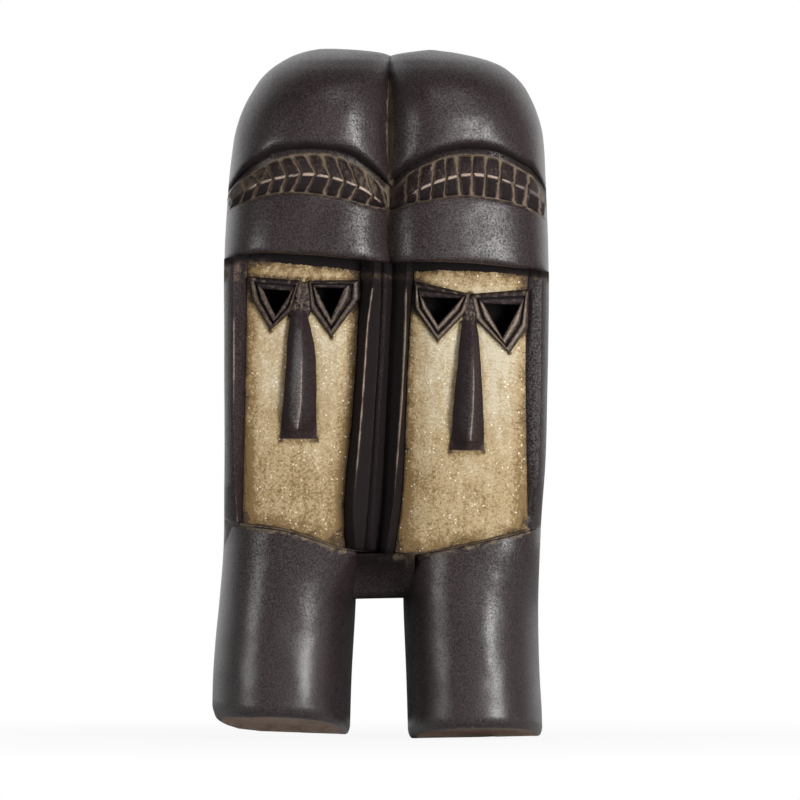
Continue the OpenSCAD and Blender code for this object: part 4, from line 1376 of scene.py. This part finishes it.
def lathe(profile, steps=40):
    """Sections of a turned shape from (radius, length) pairs, its length running into the block."""
    a = np.linspace(0, 2 * np.pi, steps, endpoint=False)
    return np.array([np.stack([r * np.cos(a), np.full(steps, -y), r * np.sin(a)], 1) for r, y in profile])


def nail_frame(points):
    """Moves points given from the wall nail to heights above the foot."""
    return np.asarray(points, float) - np.array([0, 0, FOOT])


class MASK_OT_hanger(bpy.types.Operator):
    """Fit the strap, its two screws and the ring into the pocket of the back"""
    bl_idname = "mask.hanger"
    bl_label = "Hanger"

    def execute(self, context):
        self.strap()
        self.screws()
        self.ring()
        return {"FINISHED"}

    def strap(self):
        """Two layers of steel lying on the pocket's floor, folded round the ring's straight side."""
        t = LOOP_OUT - LOOP_IN
        tail = PIVOT[2] - 24
        top = STRAP_FLOOR + t

        def turn(radius, first, last, count, way):
            """Points round the wire, over its front (way 1) or under it (way -1)."""
            return [(PIVOT[1] - way * radius * math.cos(a), PIVOT[2] + way * radius * math.sin(a))
                    for a in np.radians(np.linspace(first, last, count))]

        # The fold starts on the floor, runs over the top of the wire and comes back down to the lower layer.
        profile = [(STRAP_FLOOR, tail + 0.4), (STRAP_FLOOR, PIVOT[2])]
        profile += turn(LOOP_OUT, 0, 180, 26, 1) + turn(LOOP_OUT, 8, 62, 9, -1)
        profile += [(top + t + 0.02, PIVOT[2] - 3.2), (top + t, PIVOT[2] - 4.4), (top + t, tail + 1.2)]
        profile += [(top + 0.03, tail + 0.9), (top + 0.03, PIVOT[2] - 4.2), (top + 0.10, PIVOT[2] - 3.0)]
        profile += turn(LOOP_IN, 68, 8, 9, -1) + turn(LOOP_IN, 180, 0, 26, 1)
        profile += [(top, PIVOT[2] - 2.6), (top - 0.03, PIVOT[2] - 4.0), (top - 0.03, tail),
                    (STRAP_FLOOR, tail)]
        sections = np.array([[(x, y, z) for y, z in profile] for x in (-5.0, -4.86, 4.86, 5.0)])
        points, faces = tube(nail_frame(sections))
        strap = new_mesh("hanger_strap_fold", points, faces, [finish_of("nickel_plate")], smooth_angle=40)
        ride_mask(strap, "plated_steel", "hanger_strap")

    def screws(self):
        top = -STRAP_FLOOR - 1.6
        threads = []
        for k in range(9):
            y = top + 1.9 + k * 1.1
            threads += [(1.12, y), (1.5, y + 0.35), (1.5, y + 0.45), (1.12, y + 0.8)]
        profile = [(0.0, top - 1.8), (1.2, top - 1.78), (2.1, top - 1.55), (2.7, top - 1.1),
                   (2.98, top - 0.5), (3.0, top - 0.12), (2.9, top), (1.5, top)]
        profile += threads + [(1.0, top + 12.0), (0.12, top + 14.0)]
        for k, drop in enumerate(SCREW_DROPS):
            rings = lathe([(max(r, 0.02), y) for r, y in profile])
            rings[:, :, 2] += PIVOT[2] - drop
            points, faces = tube(nail_frame(rings))
            screw = new_mesh(f"hanger_screw_{k + 1}", points, faces, [finish_of("nickel_plate")],
                             smooth_angle=35)
            turn = math.radians(20 + 47 * k)
            for arm in (0, 1):
                a = turn + arm * math.pi / 2
                ax, az = math.cos(a), math.sin(a)
                box = [(u * ax - w * az, -FOOT + PIVOT[2] - drop + u * az + w * ax)
                       for u, w in ((-1.7, -0.32), (1.7, -0.32), (1.7, 0.32), (-1.7, 0.32))]
                carve(screw, [prism(f"recess_{k}_{arm}", box, top - 0.75, top - 3, STAINED)])
            screw.data.materials.clear()
            screw.data.materials.append(finish_of("nickel_plate"))
            finish_shading(screw.data, 35)
            ride_mask(screw, "plated_steel", "hanger_screws")

    def ring(self):
        """A wire bent into a D, its ends butted in the middle of its straight side."""
        inner_radius, inner_height, bend, lean = 7.5, 12.3, 1.6, math.radians(3)
        corner, straight = inner_radius + WIRE, inner_height - inner_radius - WIRE
        half = [(x, 0.0) for x in np.linspace(0.06, corner - bend, 8)]
        half += circle(corner - bend, bend, bend, np.linspace(-78, 0, 8))
        half += [(corner, straight * s) for s in (0.75, 1.0)]
        bow = circle(0, straight, corner, np.linspace(4, 176, 56))
        path = np.array(half + bow + [(-x, z) for x, z in half[::-1]])
        ahead = np.gradient(path, axis=0)
        ahead /= np.linalg.norm(ahead, axis=1)[:, None]
        a = np.linspace(0, 2 * np.pi, 24, endpoint=False)
        sections = []
        for k, ((px, pz), (tx, tz)) in enumerate(zip(path, ahead)):
            r = WIRE * (0.9 if k in (0, len(path) - 1) else 1.0)
            across = np.array([-tz, tx])
            ring_x = px + across[0] * r * np.cos(a)
            ring_z = pz + across[1] * r * np.cos(a)
            ring_y = r * np.sin(a)
            y = ring_y * math.cos(lean) - ring_z * math.sin(lean)
            z = ring_y * math.sin(lean) + ring_z * math.cos(lean)
            sections.append(np.stack([ring_x, y + PIVOT[1], z + PIVOT[2]], 1))
        points, faces = tube(nail_frame(np.array(sections)))
        ring = new_mesh("hanger_ring_wire", points, faces, [finish_of("nickel_plate")], smooth_angle=50)
        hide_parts("hanger_ring")
        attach(ring, "ring")


# ---------------------------------------------------------------- stage

class MASK_OT_stage(bpy.types.Operator):
    """Set the pale floor, the soft lamps, the world and the camera"""
    bl_idname = "mask.stage"
    bl_label = "Stage"

    def execute(self, context):
        scene = context.scene
        scene.view_settings.view_transform = "Standard"
        self.floor(scene)
        self.world(scene)
        self.lamps(scene)
        self.camera(scene)
        return {"FINISHED"}

    def floor(self, scene):
        f = Finish("pale_floor")
        pale = scene.mask_colours.floor
        f.set(Base_Color=f.mix(f.noise(f.place(), 0.02), scaled(pale, 0.97), pale), Roughness=0.8)
        self.open_to_camera(f)
        r = 6.0
        z = FOOT * MM - 0.0004
        mesh = bpy.data.meshes.new("floor")
        mesh.from_pydata([(-r, -r, z), (r, -r, z), (r, r, z), (-r, r, z)], [], [(0, 1, 2, 3)])
        mesh.materials.append(f.material)
        floor = bpy.data.objects.new("floor", mesh)
        scene.collection.objects.link(floor)

    def open_to_camera(self, f):
        """Shows the floor as white to the camera, but for part of the shadow on it."""
        glow = f.add("ShaderNodeEmission", {}, (1, 1, 1), 1.0)
        away = f.add("ShaderNodeVectorMath", {"operation": "LENGTH"}, f.place(), output="Value")
        share = f.ray("Camera") * (0.88 + 0.12 * away.smooth(200.0, 600.0))
        f.surface(f.add("ShaderNodeMixShader", {}, share, Sock(f, f.shader.outputs[0]), glow))

    def world(self, scene):
        """A white room behind the mask and a dim one in front of it."""
        scene.world = bpy.data.worlds.new("studio")
        w = Nodes(scene.world)
        white = w.add("ShaderNodeBackground", {}, (1, 1, 1), 1.0)
        dim = w.add("ShaderNodeBackground", {}, (1, 1, 1), 0.10)
        way = w.add("ShaderNodeTexCoord", {}, output="Generated")
        behind = w.add("ShaderNodeSeparateXYZ", {}, way, output="Y").smooth(0.15, 0.85)
        shown = w.ray("Camera") + w.ray("Transmission") + w.ray("Glossy") * behind
        w.surface(w.add("ShaderNodeMixShader", {}, shown.clamp(), dim, white))

    def lamps(self, scene):
        target = Vector((0, -0.03, -0.14))
        for name, azimuth, elevation, distance, size, power in (
                ("key", 38, 5, 1.5, (0.46, 0.60), 26.0), ("fill", -62, 2, 1.5, (0.60, 0.50), 7.0),
                ("top", 20, 50, 1.5, (0.9, 0.8), 5.0)):
            a, e = math.radians(azimuth), math.radians(elevation)
            lamp = bpy.data.lights.new(name, "AREA")
            lamp.shape, lamp.size, lamp.size_y, lamp.energy = "RECTANGLE", size[0], size[1], power
            place = bpy.data.objects.new(name, lamp)
            way = Vector((math.sin(a) * math.cos(e), -math.cos(a) * math.cos(e), math.sin(e)))
            place.location = target + distance * way
            place.rotation_euler = (target - place.location).to_track_quat("-Z", "Y").to_euler()
            scene.collection.objects.link(place)

    def camera(self, scene):
        lens = bpy.data.cameras.new("camera")
        distance, elevation = 6.0, math.radians(-0.2)
        frame_width = 0.4059
        lens.sensor_width = 36
        lens.lens = 36 * distance / frame_width
        target = Vector((0.0066, -0.012, FOOT * MM + 0.1716))
        eye = bpy.data.objects.new("camera", lens)
        eye.location = target + distance * Vector((0, -math.cos(elevation), math.sin(elevation)))
        eye.rotation_euler = (target - eye.location).to_track_quat("-Z", "Y").to_euler()
        scene.collection.objects.link(eye)
        scene.camera = eye


# ---------------------------------------------------------------- panel and running

OPERATORS = (MASK_OT_stage, MASK_OT_carved_block, MASK_OT_brow_bands, MASK_OT_eye_frames, MASK_OT_noses,
             MASK_OT_face_coats, MASK_OT_hanger)


class MASK_PT_panel(bpy.types.Panel):
    bl_idname = "MASK_PT_panel"
    bl_label = "Carved mask"
    bl_space_type = "VIEW_3D"
    bl_region_type = "UI"
    bl_category = "Mask"

    def draw(self, context):
        for group in (context.scene.mask_sizes, context.scene.mask_colours):
            column = self.layout.column()
            for key in group.__annotations__:
                column.prop(group, key)
        for operator in OPERATORS:
            self.layout.operator(operator.bl_idname)


CLASSES = (MaskSizes, MaskColours) + OPERATORS + (MASK_PT_panel,)


def register():
    for cls in CLASSES:
        bpy.utils.register_class(cls)
    bpy.types.Scene.mask_sizes = bpy.props.PointerProperty(type=MaskSizes)
    bpy.types.Scene.mask_colours = bpy.props.PointerProperty(type=MaskColours)


def unregister():
    del bpy.types.Scene.mask_colours
    del bpy.types.Scene.mask_sizes
    for cls in reversed(CLASSES):
        bpy.utils.unregister_class(cls)


def main():
    register()
    for operator in OPERATORS:
        group, name = operator.bl_idname.split(".")
        getattr(getattr(bpy.ops, group), name)()


if __name__ == "__main__":
    main()
